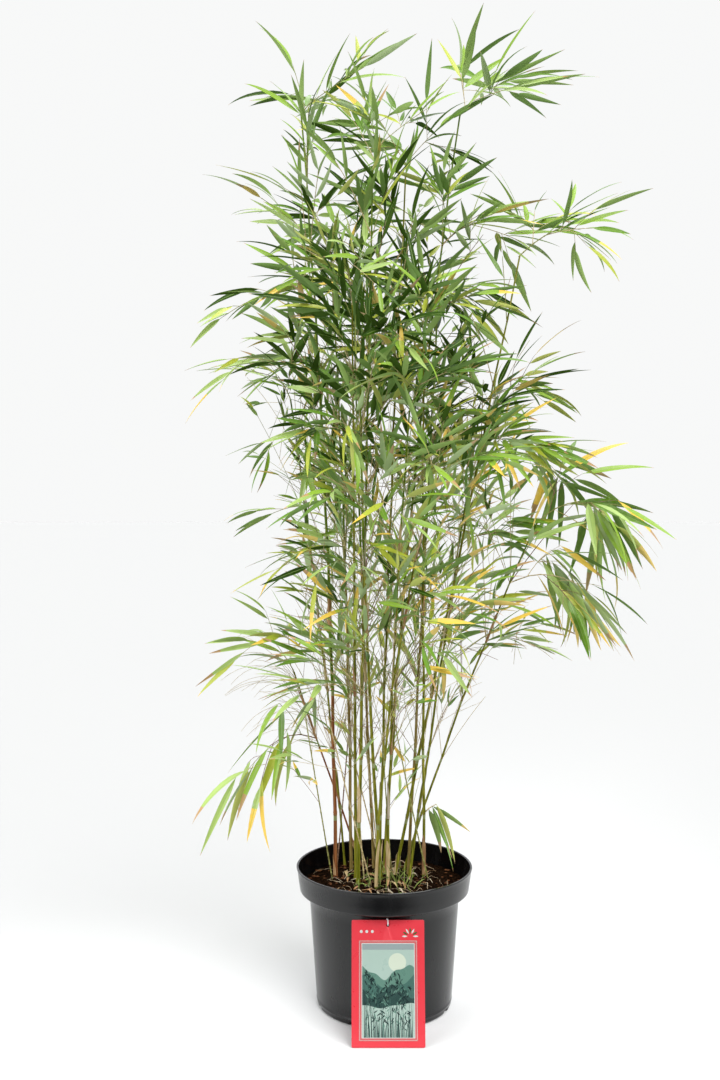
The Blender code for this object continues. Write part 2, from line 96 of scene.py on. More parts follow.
# %% World
WALL_WHITE = (0.938, 0.944, 0.942, 1)
BELOW_WHITE = (0.995, 1.0, 0.998, 1)
ROOM_LIGHT = (0.36, 0.37, 0.38, 1)
ROOM_DIM = (0.02, 0.02, 0.022, 1)
SIDE_PANELS = (1.6, 1.62, 1.65, 1)
DIM_FROM, DIM_TO = 0.10, 0.85  # how far towards the viewer a direction points where the dim starts
PANELS_FROM, PANELS_TO = 0.15, 0.50  # how steeply it rises where the panels end
BELOW_FROM, BELOW_TO = -0.08, -0.30  # how steeply it falls where the white below takes over

world = bpy.data.worlds.new("white studio")
world.use_nodes = True
bpy.context.scene.world = world
nodes, links = world.node_tree.nodes, world.node_tree.links
split = nodes.new("ShaderNodeSeparateXYZ")
links.new(nodes.new("ShaderNodeTexCoord").outputs["Generated"], split.inputs[0])


def blend(near, far, factor):
    """A mix of two colours; each may be a plain colour or a node's output."""
    mix = nodes.new("ShaderNodeMix")
    mix.data_type = "RGBA"
    for socket, source in (("A", near), ("B", far), ("Factor", factor)):
        if isinstance(source, tuple):
            mix.inputs[socket].default_value = source
        else:
            links.new(source, mix.inputs[socket])
    return mix.outputs["Result"]


def along_axis(axis, start, end):
    """0 up to the start and 1 from the end, for directions that lean along one axis."""
    fade = nodes.new("ShaderNodeMapRange")
    fade.interpolation_type = "SMOOTHSTEP"
    fade.inputs["From Min"].default_value, fade.inputs["From Max"].default_value = start, end
    links.new(split.outputs[axis], fade.inputs["Value"])
    return fade.outputs["Result"]


around = blend(SIDE_PANELS, ROOM_LIGHT, along_axis("Z", PANELS_FROM, PANELS_TO))
room = blend(around, ROOM_DIM, along_axis("Y", -DIM_FROM, -DIM_TO))
backdrop = blend(WALL_WHITE, BELOW_WHITE, along_axis("Z", BELOW_FROM, BELOW_TO))
seen = blend(room, backdrop, nodes.new("ShaderNodeLightPath").outputs["Is Camera Ray"])
links.new(seen, nodes["Background"].inputs["Color"])
bpy.context.scene.view_settings.view_transform = "Standard"
print("world:", len(nodes), "nodes")

# %% Suns
# Each sun: name, the side it shines from, its strength, and its width in degrees.
SUNS = [
    ("key sun", (0.8, -1.1, 1.5), 3.8, 50),
    ("fill sun", (-1.4, -1.0, 0.8), 2.0, 44),
    ("top sun", (-0.2, 0.9, 1.8), 1.4, 60),
]

for name, side, strength, width in SUNS:
    light = bpy.data.lights.new(name, "SUN")
    light.energy = strength
    light.angle = math.radians(width)
    lamp = bpy.data.objects.new(name, light)
    lamp.rotation_euler = (-Vector(side)).to_track_quat("-Z", "Y").to_euler()
    bpy.context.scene.collection.objects.link(lamp)
print("suns:", len(SUNS))

# %% [markdown]
# ## Finishes
#
# Every surface gets a small tree of shader nodes. We could paint images, but nodes stay sharp at
# any distance and need no files. A finish starts plain, and more nodes are fed into it one by one.

# %% A plain finish and its nodes
# The floor's colour beside the pot is white brightened into a painted pool of light round the pot.
NEAR_PAINTED_LIGHT = (0.800, 0.805, 0.806, 1)  # the floor beside the pot


def new_finish(name, colour, roughness, specular):
    """A Principled finish with plain values. Returns the material."""
    material = bpy.data.materials.new(name)
    material.use_nodes = True
    shader = material.node_tree.nodes["Principled BSDF"]
    shader.inputs["Base Color"].default_value = (*colour, 1)
    shader.inputs["Roughness"].default_value = roughness
    shader.inputs["Specular IOR Level"].default_value = specular
    return material


def add_node(material, kind, settings=None, values=None, fed_by=None):
    """One more node: settings are its options, values its sockets, fed_by the links into it."""
    made = material.node_tree.nodes.new(kind)
    for option, value in (settings or {}).items():
        setattr(made, option, value)
    for socket, value in (values or {}).items():
        made.inputs[socket].default_value = value
    for socket, source in (fed_by or {}).items():
        material.node_tree.links.new(source, made.inputs[socket])
    return made


def feed(material, source, socket):
    """Links a node's output into one of the finish's own sockets."""
    shader = material.node_tree.nodes["Principled BSDF"]
    material.node_tree.links.new(source, shader.inputs[socket])


def tell(*finishes):
    for finish in finishes:
        print(f"{finish.name}: {len(finish.node_tree.nodes)} nodes")


# The floor's finish carries a painted pool of light round the pot.
floor_with_painted_light = new_finish("floor white with painted light", NEAR_PAINTED_LIGHT[:3], 0.9, 0.0)
tell(floor_with_painted_light)

# %% [markdown]
# The floor is one big sheet. Near the pot its colour is as bright as white can be shown, a painted
# pool of light, so shadows hardly mark it. Far away its finish fades to the grey that looks just
# like the world behind.
# A glossy pot mirrors the floor before it more than anything else. So the sheet ends about two
# hands' width in front of it, below the picture's edge, and the world goes on there in the same
# white.

# %% The floor's fade, a painted pool of light round the pot
FAR_WHITE = (0.482, 0.484, 0.481, 1)
FADE = 1.6  # how fast, per metre from the pot

place = add_node(floor_with_painted_light, "ShaderNodeTexCoord").outputs["Object"]
reach = add_node(floor_with_painted_light, "ShaderNodeVectorMath", {"operation": "LENGTH"}, fed_by={"Vector": place})
times, power_of_e = {"operation": "MULTIPLY"}, {"operation": "EXPONENT"}
power = add_node(floor_with_painted_light, "ShaderNodeMath", times, {1: -FADE}, {0: reach.outputs["Value"]})
fade = add_node(floor_with_painted_light, "ShaderNodeMath", power_of_e, fed_by={0: power.outputs[0]})
# Near the pot the mix gives the painted pool of light; far off it gives the plain grey white.
ends = {"A": FAR_WHITE, "B": NEAR_PAINTED_LIGHT}
white = add_node(floor_with_painted_light, "ShaderNodeMix", {"data_type": "RGBA"}, ends, {"Factor": fade.outputs[0]})
feed(floor_with_painted_light, white.outputs["Result"], "Base Color")
tell(floor_with_painted_light)

# %% Floor sheet
FLOOR_HALF = 60.0
FLOOR_FRONT = 0.36  # where the sheet ends, from the pot's middle
FLOOR_DROP = 0.0002

floor_mesh = bpy.data.meshes.new("floor")
left, right, front, back = -FLOOR_HALF, FLOOR_HALF, -FLOOR_FRONT, FLOOR_HALF
floor_corners = [(left, front), (right, front), (right, back), (left, back)]
floor_mesh.from_pydata([(x, y, -FLOOR_DROP) for x, y in floor_corners], [], [(0, 1, 2, 3)])
floor_mesh.materials.append(floor_with_painted_light)
floor = bpy.data.objects.new("floor", floor_mesh)
bpy.context.scene.collection.objects.link(floor)
print("floor:", 2 * FLOOR_HALF, "m wide")

# %% [markdown]
# ## The pot
#
# The real pot is blown from black plastic: a thin tapered tub, a deep band round its rim for
# grip, a rounded lip, and notches round its foot that let water out. It is a turned shape, so we
# draw half of its outline and spin it. A cylinder with loops pushed about would do too, but the
# outline keeps each size where we can read it. The notches are cut last, by a Boolean.

# %% Pot sizes
POT_HEIGHT = 0.226
POT_FOOT_RADIUS = 0.1105
POT_NECK_RADIUS = 0.1232
RIM_BAND = 0.038
RIM_FOOT_RADIUS = 0.1385
RIM_TOP_RADIUS = 0.1437
RIM_SHOULDER = 0.004
POT_WALL = 0.0024
POT_FLOOR = 0.003
FOOT_CORNER = 0.005


def arc(centre, radius, start, end, steps):
    """Points (radius, height) on an arc, its angles in degrees."""
    angles = [math.radians(start + (end - start) * i / steps) for i in range(steps + 1)]
    return [(centre[0] + radius * math.cos(a), centre[1] + radius * math.sin(a)) for a in angles]


def wall_radius(height):
    """The wall's outer radius, between its foot and its shoulder."""
    share = height / (POT_HEIGHT - RIM_BAND - RIM_SHOULDER)
    return POT_FOOT_RADIUS + (POT_NECK_RADIUS - POT_FOOT_RADIUS) * share


print("pot wall: radius", round(wall_radius(POT_HEIGHT / 2), 4), "m at half its height")

# %% [markdown]
# The outline starts in the middle of the underside, goes up the wall, over the shoulder, up the
# band and round the lip, and comes down inside. Arcs make its corners soft.

# %% Pot outline
FOOT_FLAT = 0.09  # a point on the way across the flat underside
LIP_SWELL = 0.0006  # how far the lip stands out
BEAD = 0.0007  # the fine ridge that the mould leaves
BEAD_HEIGHT = 0.0105
WALL_HEIGHTS = (0.016, 0.05, 0.09, 0.13, 0.165)
BAND_HEIGHTS = (0.003, 0.016, 0.030)  # above the band's foot


def ridge(height, size):
    """A fine moulded ridge round the wall."""
    radius = wall_radius(height)
    return [
        (radius, height - size * 1.6),
        (radius + size * 0.7, height - size * 0.5),
        (radius + size * 0.7, height + size * 0.5),
        (radius, height + size * 1.6),
    ]


def pot_profile():
    """Points (radius, height) of half the pot's outline."""
    band_foot = POT_HEIGHT - RIM_BAND
    foot = arc((POT_FOOT_RADIUS - FOOT_CORNER, FOOT_CORNER), FOOT_CORNER, -90, 0, 6)
    wall = [(wall_radius(h), h) for h in WALL_HEIGHTS]
    shoulder = [
        (POT_NECK_RADIUS, band_foot - RIM_SHOULDER),
        (POT_NECK_RADIUS + 0.0012, band_foot - RIM_SHOULDER * 0.62),
        (POT_NECK_RADIUS + 0.0040, band_foot - RIM_SHOULDER * 0.35),
        (RIM_FOOT_RADIUS - 0.0040, band_foot - RIM_SHOULDER * 0.10),
        (RIM_FOOT_RADIUS - 0.0012, band_foot),
        (RIM_FOOT_RADIUS, band_foot + 0.0011),
    ]
    lean = (RIM_TOP_RADIUS - RIM_FOOT_RADIUS) / RIM_BAND
    band = [(RIM_FOOT_RADIUS + lean * h, band_foot + h) for h in BAND_HEIGHTS]
    lip_middle = (RIM_TOP_RADIUS - POT_WALL / 2, POT_HEIGHT - POT_WALL / 2)
    lip = arc(lip_middle, POT_WALL / 2 + LIP_SWELL, -35, 215, 9)
    lip = [(radius, min(height, POT_HEIGHT)) for radius, height in lip]
    inside = [
        (RIM_FOOT_RADIUS - POT_WALL, band_foot + 0.001),
        (POT_NECK_RADIUS + 0.0036 - POT_WALL, band_foot - RIM_SHOULDER * 0.3),
        (POT_NECK_RADIUS - POT_WALL, band_foot - RIM_SHOULDER),
        (POT_FOOT_RADIUS - POT_WALL, POT_FLOOR),
    ]
    underside, bead = [(0, 0), (FOOT_FLAT, 0)], ridge(BEAD_HEIGHT, BEAD * 0.6)
    return [*underside, *foot, *bead, *wall, *shoulder, *band, *lip, *inside, (0, POT_FLOOR)]


pot_outline = pot_profile()
print("pot outline:", len(pot_outline), "points, widest", round(max(pot_outline)[0], 4), "m")

# %% [markdown]
# Blown plastic is never one flat black. It has faint upright streaks where it was drawn down the
# mould, and some dust. Streaks and dust are one noise, squeezed along Z.
#
# All our finishes share three ideas: a colour that follows a pattern, a roughness that wanders a
# little, and a fine relief that catches the light. So each idea is one helper.

# %% Colour along a pattern
NOISE_LOW, NOISE_HIGH = 0.3, 0.7  # nearly all of a noise pattern lies between these
POT_BLACK = (0.0013, 0.0014, 0.0016)
POT_DUST = (0.0050, 0.0052, 0.0058)


def grain(material, scale, stretch=(1, 1, 1), detail=3):
    """A noise pattern, squeezed by a stretch along each axis. Returns its value output."""
    place = add_node(material, "ShaderNodeTexCoord").outputs["Object"]
    mapping = add_node(material, "ShaderNodeMapping", values={"Scale": stretch}, fed_by={"Vector": place})
    sizes = {"Scale": scale, "Detail": detail}
    pattern = add_node(material, "ShaderNodeTexNoise", None, sizes, {"Vector": mapping.outputs["Vector"]})
    return pattern.outputs["Fac"]


def mottle(material, pattern, colours):
    """Colours spread along a pattern, as evenly spaced stops of a ramp."""
    ramp = add_node(material, "ShaderNodeValToRGB", fed_by={"Fac": pattern})
    stops = ramp.color_ramp.elements
    stops[0].position, stops[1].position = NOISE_LOW, NOISE_HIGH
    stops[0].color, stops[1].color = (*colours[0], 1), (*colours[-1], 1)
    for i, colour in enumerate(colours[1:-1], 1):
        stop = stops.new(NOISE_LOW + (NOISE_HIGH - NOISE_LOW) * i / (len(colours) - 1))
        stop.color = (*colour, 1)
    feed(material, ramp.outputs["Color"], "Base Color")


pot_plastic = new_finish("pot plastic", POT_BLACK, 0.24, 0.45)
streaks = grain(pot_plastic, 60.0, (1, 1, 0.06), 4)
mottle(pot_plastic, streaks, [POT_BLACK, (0.0018, 0.0019, 0.0022), POT_DUST])
tell(pot_plastic)

# %% Roughness and relief along a pattern
def vary_roughness(material, pattern, low, high):
    """A roughness that wanders between two values along a pattern."""
    span = {"From Min": NOISE_LOW, "From Max": NOISE_HIGH, "To Min": low, "To Max": high}
    spread = add_node(material, "ShaderNodeMapRange", None, span, {"Value": pattern})
    feed(material, spread.outputs["Result"], "Roughness")


def add_relief(material, pattern, height, strength=1.0):
    """Fine relief, its height in metres."""
    sizes = {"Strength": strength, "Distance": height}
    bump = add_node(material, "ShaderNodeBump", None, sizes, {"Height": pattern})
    feed(material, bump.outputs["Normal"], "Normal")


vary_roughness(pot_plastic, grain(pot_plastic, 34.0, (1, 1, 0.25), 5), 0.18, 0.30)
add_relief(pot_plastic, grain(pot_plastic, 260.0, (1, 1, 0.35), 2), 0.00006)
tell(pot_plastic)

# %% [markdown]
# A potter's wheel in one call: the spin operator turns the outline round the upright axis. A
# Screw modifier would do the same, but we need a plain mesh at once, to cut it.

# %% Spin the outline
POT_STEPS = 144


def turned(name, profile, finish, steps):
    """An object made by spinning an outline round the upright axis."""
    work = bmesh.new()
    verts = [work.verts.new((radius, 0, height)) for radius, height in profile]
    outline = verts + [work.edges.new(pair) for pair in zip(verts, verts[1:])]
    bmesh.ops.spin(
        work, geom=outline, cent=(0, 0, 0), axis=UP, angle=math.tau, steps=steps, use_merge=True
    )
    bmesh.ops.remove_doubles(work, verts=work.verts, dist=1e-5)
    bmesh.ops.recalc_face_normals(work, faces=work.faces)
    mesh = bpy.data.meshes.new(name)
    work.to_mesh(mesh)
    work.free()
    mesh.materials.append(finish)
    obj = bpy.data.objects.new(name, mesh)
    bpy.context.scene.collection.objects.link(obj)
    return obj


pot = turned("pot_shell", pot_outline, pot_plastic, POT_STEPS)
print("pot:", len(pot.data.polygons), "faces")

# %% [markdown]
# The notches let water out at the foot. One cutter made of eight blocks cuts them all at once.

# %% Blocks that cut the notches
DRAIN_SLOTS = 8
DRAIN_WIDTH = 0.016
DRAIN_DEPTH = 0.014
DRAIN_HEIGHT = 0.006
FIRST_DRAIN = 18.0  # degrees round from the right


def make_drain_cutter():
    work = bmesh.new()
    for i in range(DRAIN_SLOTS):
        turn = Matrix.Rotation(math.radians(FIRST_DRAIN) + math.tau * i / DRAIN_SLOTS, 4, "Z")
        size = Matrix.Diagonal((DRAIN_DEPTH * 2, DRAIN_WIDTH, DRAIN_HEIGHT * 2, 1))
        place = turn @ Matrix.Translation((POT_FOOT_RADIUS, 0, 0)) @ size
        bmesh.ops.create_cube(work, size=1, matrix=place)
    mesh = bpy.data.meshes.new("drain notches")
    work.to_mesh(mesh)
    work.free()
    mesh.materials.append(pot_plastic)
    cutter = bpy.data.objects.new("drain notches", mesh)
    bpy.context.scene.collection.objects.link(cutter)
    return cutter


notches = make_drain_cutter()
print("notches:", DRAIN_SLOTS, "blocks,", len(notches.data.polygons), "faces")

# %% Cut them, and stand for the plain pot
POT_SHARP = 38  # degrees; steeper edges than this are shaded crisp


def apply_modifiers(obj):
    """Swaps the object's mesh for the one that its modifiers make."""
    graph = bpy.context.evaluated_depsgraph_get()
    mesh = bpy.data.meshes.new_from_object(obj.evaluated_get(graph))
    obj.modifiers.clear()
    obj.data = mesh


def cut_by(obj, cutter):
    """Takes the cutter's shape out of the object, and removes the cutter."""
    cut = obj.modifiers.new("cut", "BOOLEAN")
    cut.object = cutter
    cut.operation = "DIFFERENCE"
    cut.solver = "EXACT"
    apply_modifiers(obj)
    bpy.data.objects.remove(cutter)


def stands_for(obj, slot, *nodes):
    """The piece moves with the plain model, and is shown in place of these nodes of it."""
    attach(obj, "root")
    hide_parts(*nodes)
    print(f"{obj.name}: {len(obj.data.polygons)} faces, for {', '.join(nodes[:3])}")
    return obj


cut_by(pot, notches)
pot.data.shade_smooth()
pot.data.set_sharp_from_angle(angle=math.radians(POT_SHARP))
stands_for(pot, "pot_plastic", "pot")

# %% [markdown]
# ## A pile for small shapes
#
# A bamboo is thousands of small things. One object for each would be slow to render, so we collect
# them: a Pile takes points and faces, with a finish for each face, and turns them into one mesh at
# the end.

# %% Pile
class Pile:
    """Many small closed shapes that become one mesh."""

    def __init__(self):
        self.points, self.faces, self.finishes, self.places = [], [], [], []

    def add(self, points, faces, finish, places=None):
        """A shape. finish is a number for all of its faces, or one for each. places are the
        points' positions on a flat map, for patterns that follow the shape."""
        base = len(self.points)
        self.points.extend(points)
        self.faces.extend(tuple(base + i for i in face) for face in faces)
        self.finishes.extend([finish] * len(faces) if isinstance(finish, int) else finish)
        self.places.extend(places or [(0.0, 0.0)] * len(points))

    def make(self, name, finishes, smooth_angle=40):
        """The object. Edges steeper than the angle, in degrees, are shaded crisp."""
        mesh = bpy.data.meshes.new(name)
        mesh.from_pydata([tuple(point) for point in self.points], [], self.faces)
        for material in finishes:
            mesh.materials.append(material)
        mesh.polygons.foreach_set("material_index", self.finishes)
        flat_map = mesh.uv_layers.new(name="places")
        corners = [0] * len(mesh.loops)
        mesh.loops.foreach_get("vertex_index", corners)
        flat_map.uv.foreach_set("vector", [n for corner in corners for n in self.places[corner]])
        mesh.validate()
        mesh.shade_smooth()
        mesh.set_sharp_from_angle(angle=math.radians(smooth_angle))
        obj = bpy.data.objects.new(name, mesh)
        bpy.context.scene.collection.objects.link(obj)
        return obj


trial = Pile()
trial.add([(0, 0, 0), (1, 0, 0), (0, 1, 0)], [(0, 1, 2)], 0)
print("a trial pile:", len(trial.points), "points,", len(trial.faces), "face")

# %% [markdown]
# ## The soil
#
# Potting soil is peat with bark in it: dark, open and crumbly, a little higher round the canes.
# A disc with a noise displacement gives the clods, and hundreds of small lumps, chips and fibres
# on it give the crumbs. Sculpting would work too, but noise is seeded: it comes out the same
# every time.

# %% Soil finishes
peat = new_finish("peat", (0.008, 0.003, 0.001), 0.95, 0.02)
peat_crumbs = grain(peat, 300.0, detail=5)
mottle(peat, peat_crumbs, [(0.0020, 0.0006, 0.0002), (0.0065, 0.0026, 0.0009), (0.0300, 0.0135, 0.0052)])
add_relief(peat, grain(peat, 500.0, detail=4), 0.0008)

bark_chip = new_finish("bark chip", (0.11, 0.040, 0.015), 0.85, 0.12)
bark_grain = grain(bark_chip, 260.0)
mottle(bark_chip, bark_grain, [(0.030, 0.010, 0.004), (0.100, 0.036, 0.013), (0.260, 0.115, 0.046)])
add_relief(bark_chip, grain(bark_chip, 400.0), 0.0005)

root_fibre = new_finish("root fibre", (0.52, 0.40, 0.26), 0.8, 0.3)
mottle(root_fibre, grain(root_fibre, 180.0), [(0.30, 0.20, 0.11), (0.52, 0.40, 0.26), (0.72, 0.62, 0.46)])
add_relief(root_fibre, grain(root_fibre, 700.0), 0.0002)
tell(peat, bark_chip, root_fibre)

# %% [markdown]
# The height of the soil is a formula. The mesh takes its points from it, and whatever is laid on
# the soil later asks it where the ground is, so nothing floats.

# %% Soil height
SOIL_TOP = 0.196
SOIL_CLODS = 0.0042  # height of the clods
SOIL_MOUND = 0.004  # how much higher it is round the canes
MOUND_MIDDLE = Vector((0.0, 0.03))
GAP = 0.0003


def soil_edge_radius(height):
    """How wide the soil is at a height inside the pot."""
    band_foot = POT_HEIGHT - RIM_BAND
    share = (height - band_foot) / RIM_BAND
    return RIM_FOOT_RADIUS + (RIM_TOP_RADIUS - RIM_FOOT_RADIUS) * share - POT_WALL - GAP


def soil_height(x, y):
    """The soil's surface: big clods, small clods, a mound, and a low edge along the wall."""
    spot = Vector((x, y, 0))
    clods = noise.noise(spot * 85) * 0.6 + noise.noise(spot * 210) * 0.45 + noise.noise(spot * 460) * 0.2
    mound = math.exp(-((Vector((x, y)) - MOUND_MIDDLE).length / 0.075) ** 2)
    edge = max(0.0, math.hypot(x, y) / soil_edge_radius(SOIL_TOP) - 0.86) / 0.14
    return SOIL_TOP - 0.001 + clods * SOIL_CLODS + mound * SOIL_MOUND - edge * 0.003


print("soil: radius", round(soil_edge_radius(SOIL_TOP), 4), "m, height", round(soil_height(0, 0), 4), "m")

# %% Soil mesh
SOIL_RINGS = 44
SOIL_SPOKES = 150


def make_soil():
    """The plug of soil: rings over its top, then a few down its side, and a flat underside."""
    edge = soil_edge_radius(SOIL_TOP) - 0.0004
    points, faces = [Vector((0, 0, soil_height(0, 0)))], []
    for ring in range(1, SOIL_RINGS + 1):
        radius = edge * (ring / SOIL_RINGS) ** 0.8
        for spoke in range(SOIL_SPOKES):
            angle = math.tau * (spoke + 0.5 * (ring % 2)) / SOIL_SPOKES
            x, y = radius * math.cos(angle), radius * math.sin(angle)
            points.append(Vector((x, y, soil_height(x, y))))
    below = [(edge, SOIL_TOP - 0.008), (POT_FOOT_RADIUS + 0.012 - POT_WALL * 2, 0.180),
             (POT_FOOT_RADIUS - POT_WALL * 2, POT_FLOOR + GAP)]
    for radius, height in below:
        for spoke in range(SOIL_SPOKES):
            angle = math.tau * spoke / SOIL_SPOKES
            points.append(Vector((radius * math.cos(angle), radius * math.sin(angle), height)))
    rows = SOIL_RINGS + len(below)
    for spoke in range(SOIL_SPOKES):
        after = (spoke + 1) % SOIL_SPOKES
        faces.append((0, 1 + spoke, 1 + after))
        for row in range(rows - 1):
            a, b = 1 + row * SOIL_SPOKES, 1 + (row + 1) * SOIL_SPOKES
            faces.append((a + spoke, b + spoke, b + after, a + after))
    last = 1 + (rows - 1) * SOIL_SPOKES
    faces.append(tuple(range(last + SOIL_SPOKES - 1, last - 1, -1)))
    pile = Pile()
    pile.add(points, faces, 0)
    return pile.make("potting_soil", [peat], 60)


stands_for(make_soil(), "soil_peat", "soil")

# %% [markdown]
# Crumbs are lumpy little balls, chips are flattened ones, and fibres are thin bent tubes. All of
# them lie on the soil's own height, and crumbs and chips are sunk in a little.

# %% Crumbs
PEAT, BARK, FIBRE = range(3)
CRUMBS = 900


def lump(middle, size, rng, flat):
    """A small irregular closed lump: a twenty-faced ball with its corners pushed about."""
    work = bmesh.new()
    bmesh.ops.create_icosphere(work, subdivisions=1, radius=1)
    turn = Matrix.Rotation(rng.uniform(0, math.tau), 3, Vector((rng.random(), rng.random(), 1)))
    squash = Matrix.Diagonal((rng.uniform(0.7, 1.3), rng.uniform(0.6, 1.0), flat))
    tilt = Matrix.Rotation(rng.uniform(-0.4, 0.4), 3, "X")
    points = []
    for vert in work.verts:
        points.append(middle + tilt @ squash @ (turn @ vert.co) * size * rng.uniform(0.75, 1.2))
    faces = [tuple(v.index for v in face.verts) for face in work.faces]
    work.free()
    return points, faces


def on_soil(rng, reach):
    """A random spot on the soil, within a share of its radius."""
    radius = reach * soil_edge_radius(SOIL_TOP) * math.sqrt(rng.random())
    angle = rng.uniform(0, math.tau)
    x, y = radius * math.cos(angle), radius * math.sin(angle)
    return Vector((x, y, soil_height(x, y)))


soil_rng = random.Random("soil")
crumbs = Pile()
for _ in range(CRUMBS):
    spot = on_soil(soil_rng, 0.96)
    size = 0.0009 + 0.0022 * soil_rng.random() ** 2.5
    crumbs.add(*lump(spot + UP * size * 0.3, size, soil_rng, soil_rng.uniform(0.6, 1.0)), PEAT)
print("crumbs:", CRUMBS, "with", len(crumbs.faces), "faces")

# %% Chips
CHIPS = 150
CHIP_FLATNESS = 0.28

for _ in range(CHIPS):
    spot = on_soil(soil_rng, 0.94)
    size = soil_rng.uniform(0.0022, 0.0052)
    crumbs.add(*lump(spot + UP * size * 0.25, size, soil_rng, CHIP_FLATNESS), BARK)
print("with the chips:", len(crumbs.faces), "faces")

# %% [markdown]
# A fibre needs a tube that follows a line. Each ring is turned as little as possible from the one
# before, so it never twists. Stems, twigs and canes use the same helper.

# %% Tube along a line
def tube(points, radii, sides, first_normal=None):
    """(points, faces) of a tapering tube along a line, each ring square to the line."""
    verts, faces = [], []
    across = None
    for i, centre in enumerate(points):
        ahead = points[min(i + 1, len(points) - 1)] - points[max(i - 1, 0)]
        normal = first_normal if i == 0 and first_normal else ahead.normalized()
        if across is None:
            across = normal.orthogonal()
        across = (across - normal * across.dot(normal)).normalized()
        other = normal.cross(across)
        for side in range(sides):
            angle = math.tau * side / sides
            verts.append(centre + (across * math.cos(angle) + other * math.sin(angle)) * radii[i])
    for i in range(len(points) - 1):
        for side in range(sides):
            a, b = i * sides + side, i * sides + (side + 1) % sides
            faces.append((a, b, b + sides, a + sides))
    last = (len(points) - 1) * sides
    faces.append(tuple(range(sides - 1, -1, -1)))
    faces.append(tuple(range(last, last + sides)))
    return verts, faces


print("a trial tube:", len(tube([UP * 0, UP, UP * 2], [1, 1, 1], 6)[1]), "faces")

# %% Fibres
FIBRES = 60
FIBRE_STEPS = 6
FIBRE_SIDES = 5
SOIL_SHARP = 50


def fibre(start, heading, length, lift, rng):
    """The line of a dry fibre that lies on the soil, with its middle lifted off it."""
    points = []
    for i in range(FIBRE_STEPS + 1):
        share = i / FIBRE_STEPS
        heading += rng.uniform(-0.35, 0.35)
        start = start + Vector((math.cos(heading), math.sin(heading), 0)) * length / FIBRE_STEPS
        limit = soil_edge_radius(SOIL_TOP) * 0.93
        flat = Vector((start.x, start.y, 0))
        if flat.length > limit:
            flat *= limit / flat.length
        height = soil_height(flat.x, flat.y) + 0.0006 + lift * math.sin(math.pi * share)
        start = Vector((flat.x, flat.y, height))
        points.append(start)
    return points


for _ in range(FIBRES):
    line = fibre(on_soil(soil_rng, 0.8), soil_rng.uniform(0, math.tau), soil_rng.uniform(0.012, 0.055),
                 soil_rng.uniform(0, 0.006), soil_rng)
    thick = 0.00022 + 0.0007 * soil_rng.random() ** 3
    radii = [thick * (1 - 0.5 * abs(2 * i / FIBRE_STEPS - 1)) for i in range(FIBRE_STEPS + 1)]
    crumbs.add(*tube(line, radii, FIBRE_SIDES), FIBRE)
stands_for(crumbs.make("soil_crumbs", [peat, bark_chip, root_fibre], SOIL_SHARP), "soil_peat", "soil")

# %% [markdown]
# ## The label
#
# Nurseries hang a glossy card on the plant; here it has slipped down and leans on the pot. It is
# a plate with rounded corners and a punched hole, so we extrude an outline and cut the hole by a
# Boolean. The label keeps its own axes: X across it, Y up its length and Z out of its face. One
# matrix then leans it on the wall, for the card, its print and its hook alike.

# %% The label's own axes
LABEL_LENGTH = 0.184
LABEL_THICKNESS = 0.0009
LABEL_FOOT = 0.0417  # how far its foot stands out from its top
LABEL_STAND_OFF = 0.0030  # how far its top stands off the pot's wall
LABEL_OFFSET = 0.003  # to the right of the pot's middle


def label_frame():
    """The matrix that stands the label on its foot and leans it on the pot."""
    lean = math.asin(LABEL_FOOT / LABEL_LENGTH)
    top = LABEL_LENGTH * math.cos(lean)
    out = wall_radius(top) + LABEL_STAND_OFF + LABEL_FOOT
    foot = Vector((LABEL_OFFSET, -out, GAP + LABEL_THICKNESS * math.sin(lean)))
    return Matrix.Translation(foot) @ Matrix.Rotation(math.pi / 2 - lean, 4, "X")


LABEL_FRAME = label_frame()
print("label: leans back", round(math.degrees(math.asin(LABEL_FOOT / LABEL_LENGTH)), 1), "degrees")

# %% Label card
LABEL_WIDTH = 0.1114
LABEL_CORNER = 0.0022


def rounded_box(left, right, low, high, radius, steps=5):
    """The outline of a rectangle with round corners, counterclockwise."""
    centres = [(right - radius, low + radius, -90), (right - radius, high - radius, 0),
               (left + radius, high - radius, 90), (left + radius, low + radius, 180)]
    return [point for x, y, start in centres for point in arc((x, y), radius, start, start + 90, steps)]


def plate(outline, low, high):
    """(points, faces) of a flat plate with that outline, between two heights of the label's Z."""
    count = len(outline)
    points = [Vector((x, y, z)) for z in (low, high) for x, y in outline]
    sides = [(i, (i + 1) % count, (i + 1) % count + count, i + count) for i in range(count)]
    return points, [tuple(range(count - 1, -1, -1)), tuple(range(count, 2 * count)), *sides]


def card_finish(name, colour):
    """Printed card under a thin gloss, with a very slight waviness."""
    material = new_finish(name, colour, 0.32, 0.5)
    vary_roughness(material, grain(material, 70.0), 0.26, 0.38)
    add_relief(material, grain(material, 26.0, detail=1), 0.0006, 0.5)
    return material


label_red = card_finish("label red", (0.57, 0.036, 0.050))
card_outline = rounded_box(-LABEL_WIDTH / 2, LABEL_WIDTH / 2, 0, LABEL_LENGTH, LABEL_CORNER)
card = Pile()
card.add(*plate(card_outline, 0, LABEL_THICKNESS), 0)
label = card.make("label_card", [label_red])
print("label card:", len(card_outline), "points round its outline")

# %% Hole and soft edges
LABEL_HOLE_RADIUS = 0.0022
LABEL_HOLE_DROP = 0.008  # from the top edge
EDGE_ROUND = 0.0002

punch = Pile()
hole_line = [Vector((0, LABEL_LENGTH - LABEL_HOLE_DROP, z)) for z in (-0.003, 0.003)]
punch.add(*tube(hole_line, [LABEL_HOLE_RADIUS] * 2, 32), 0)
cut_by(label, punch.make("punch", [label_red]))
soften = label.modifiers.new("edge", "BEVEL")
soften.width = EDGE_ROUND
soften.segments = 2
soften.limit_method = "ANGLE"
apply_modifiers(label)
label.matrix_world = LABEL_FRAME
stands_for(label, "label_card", "label")

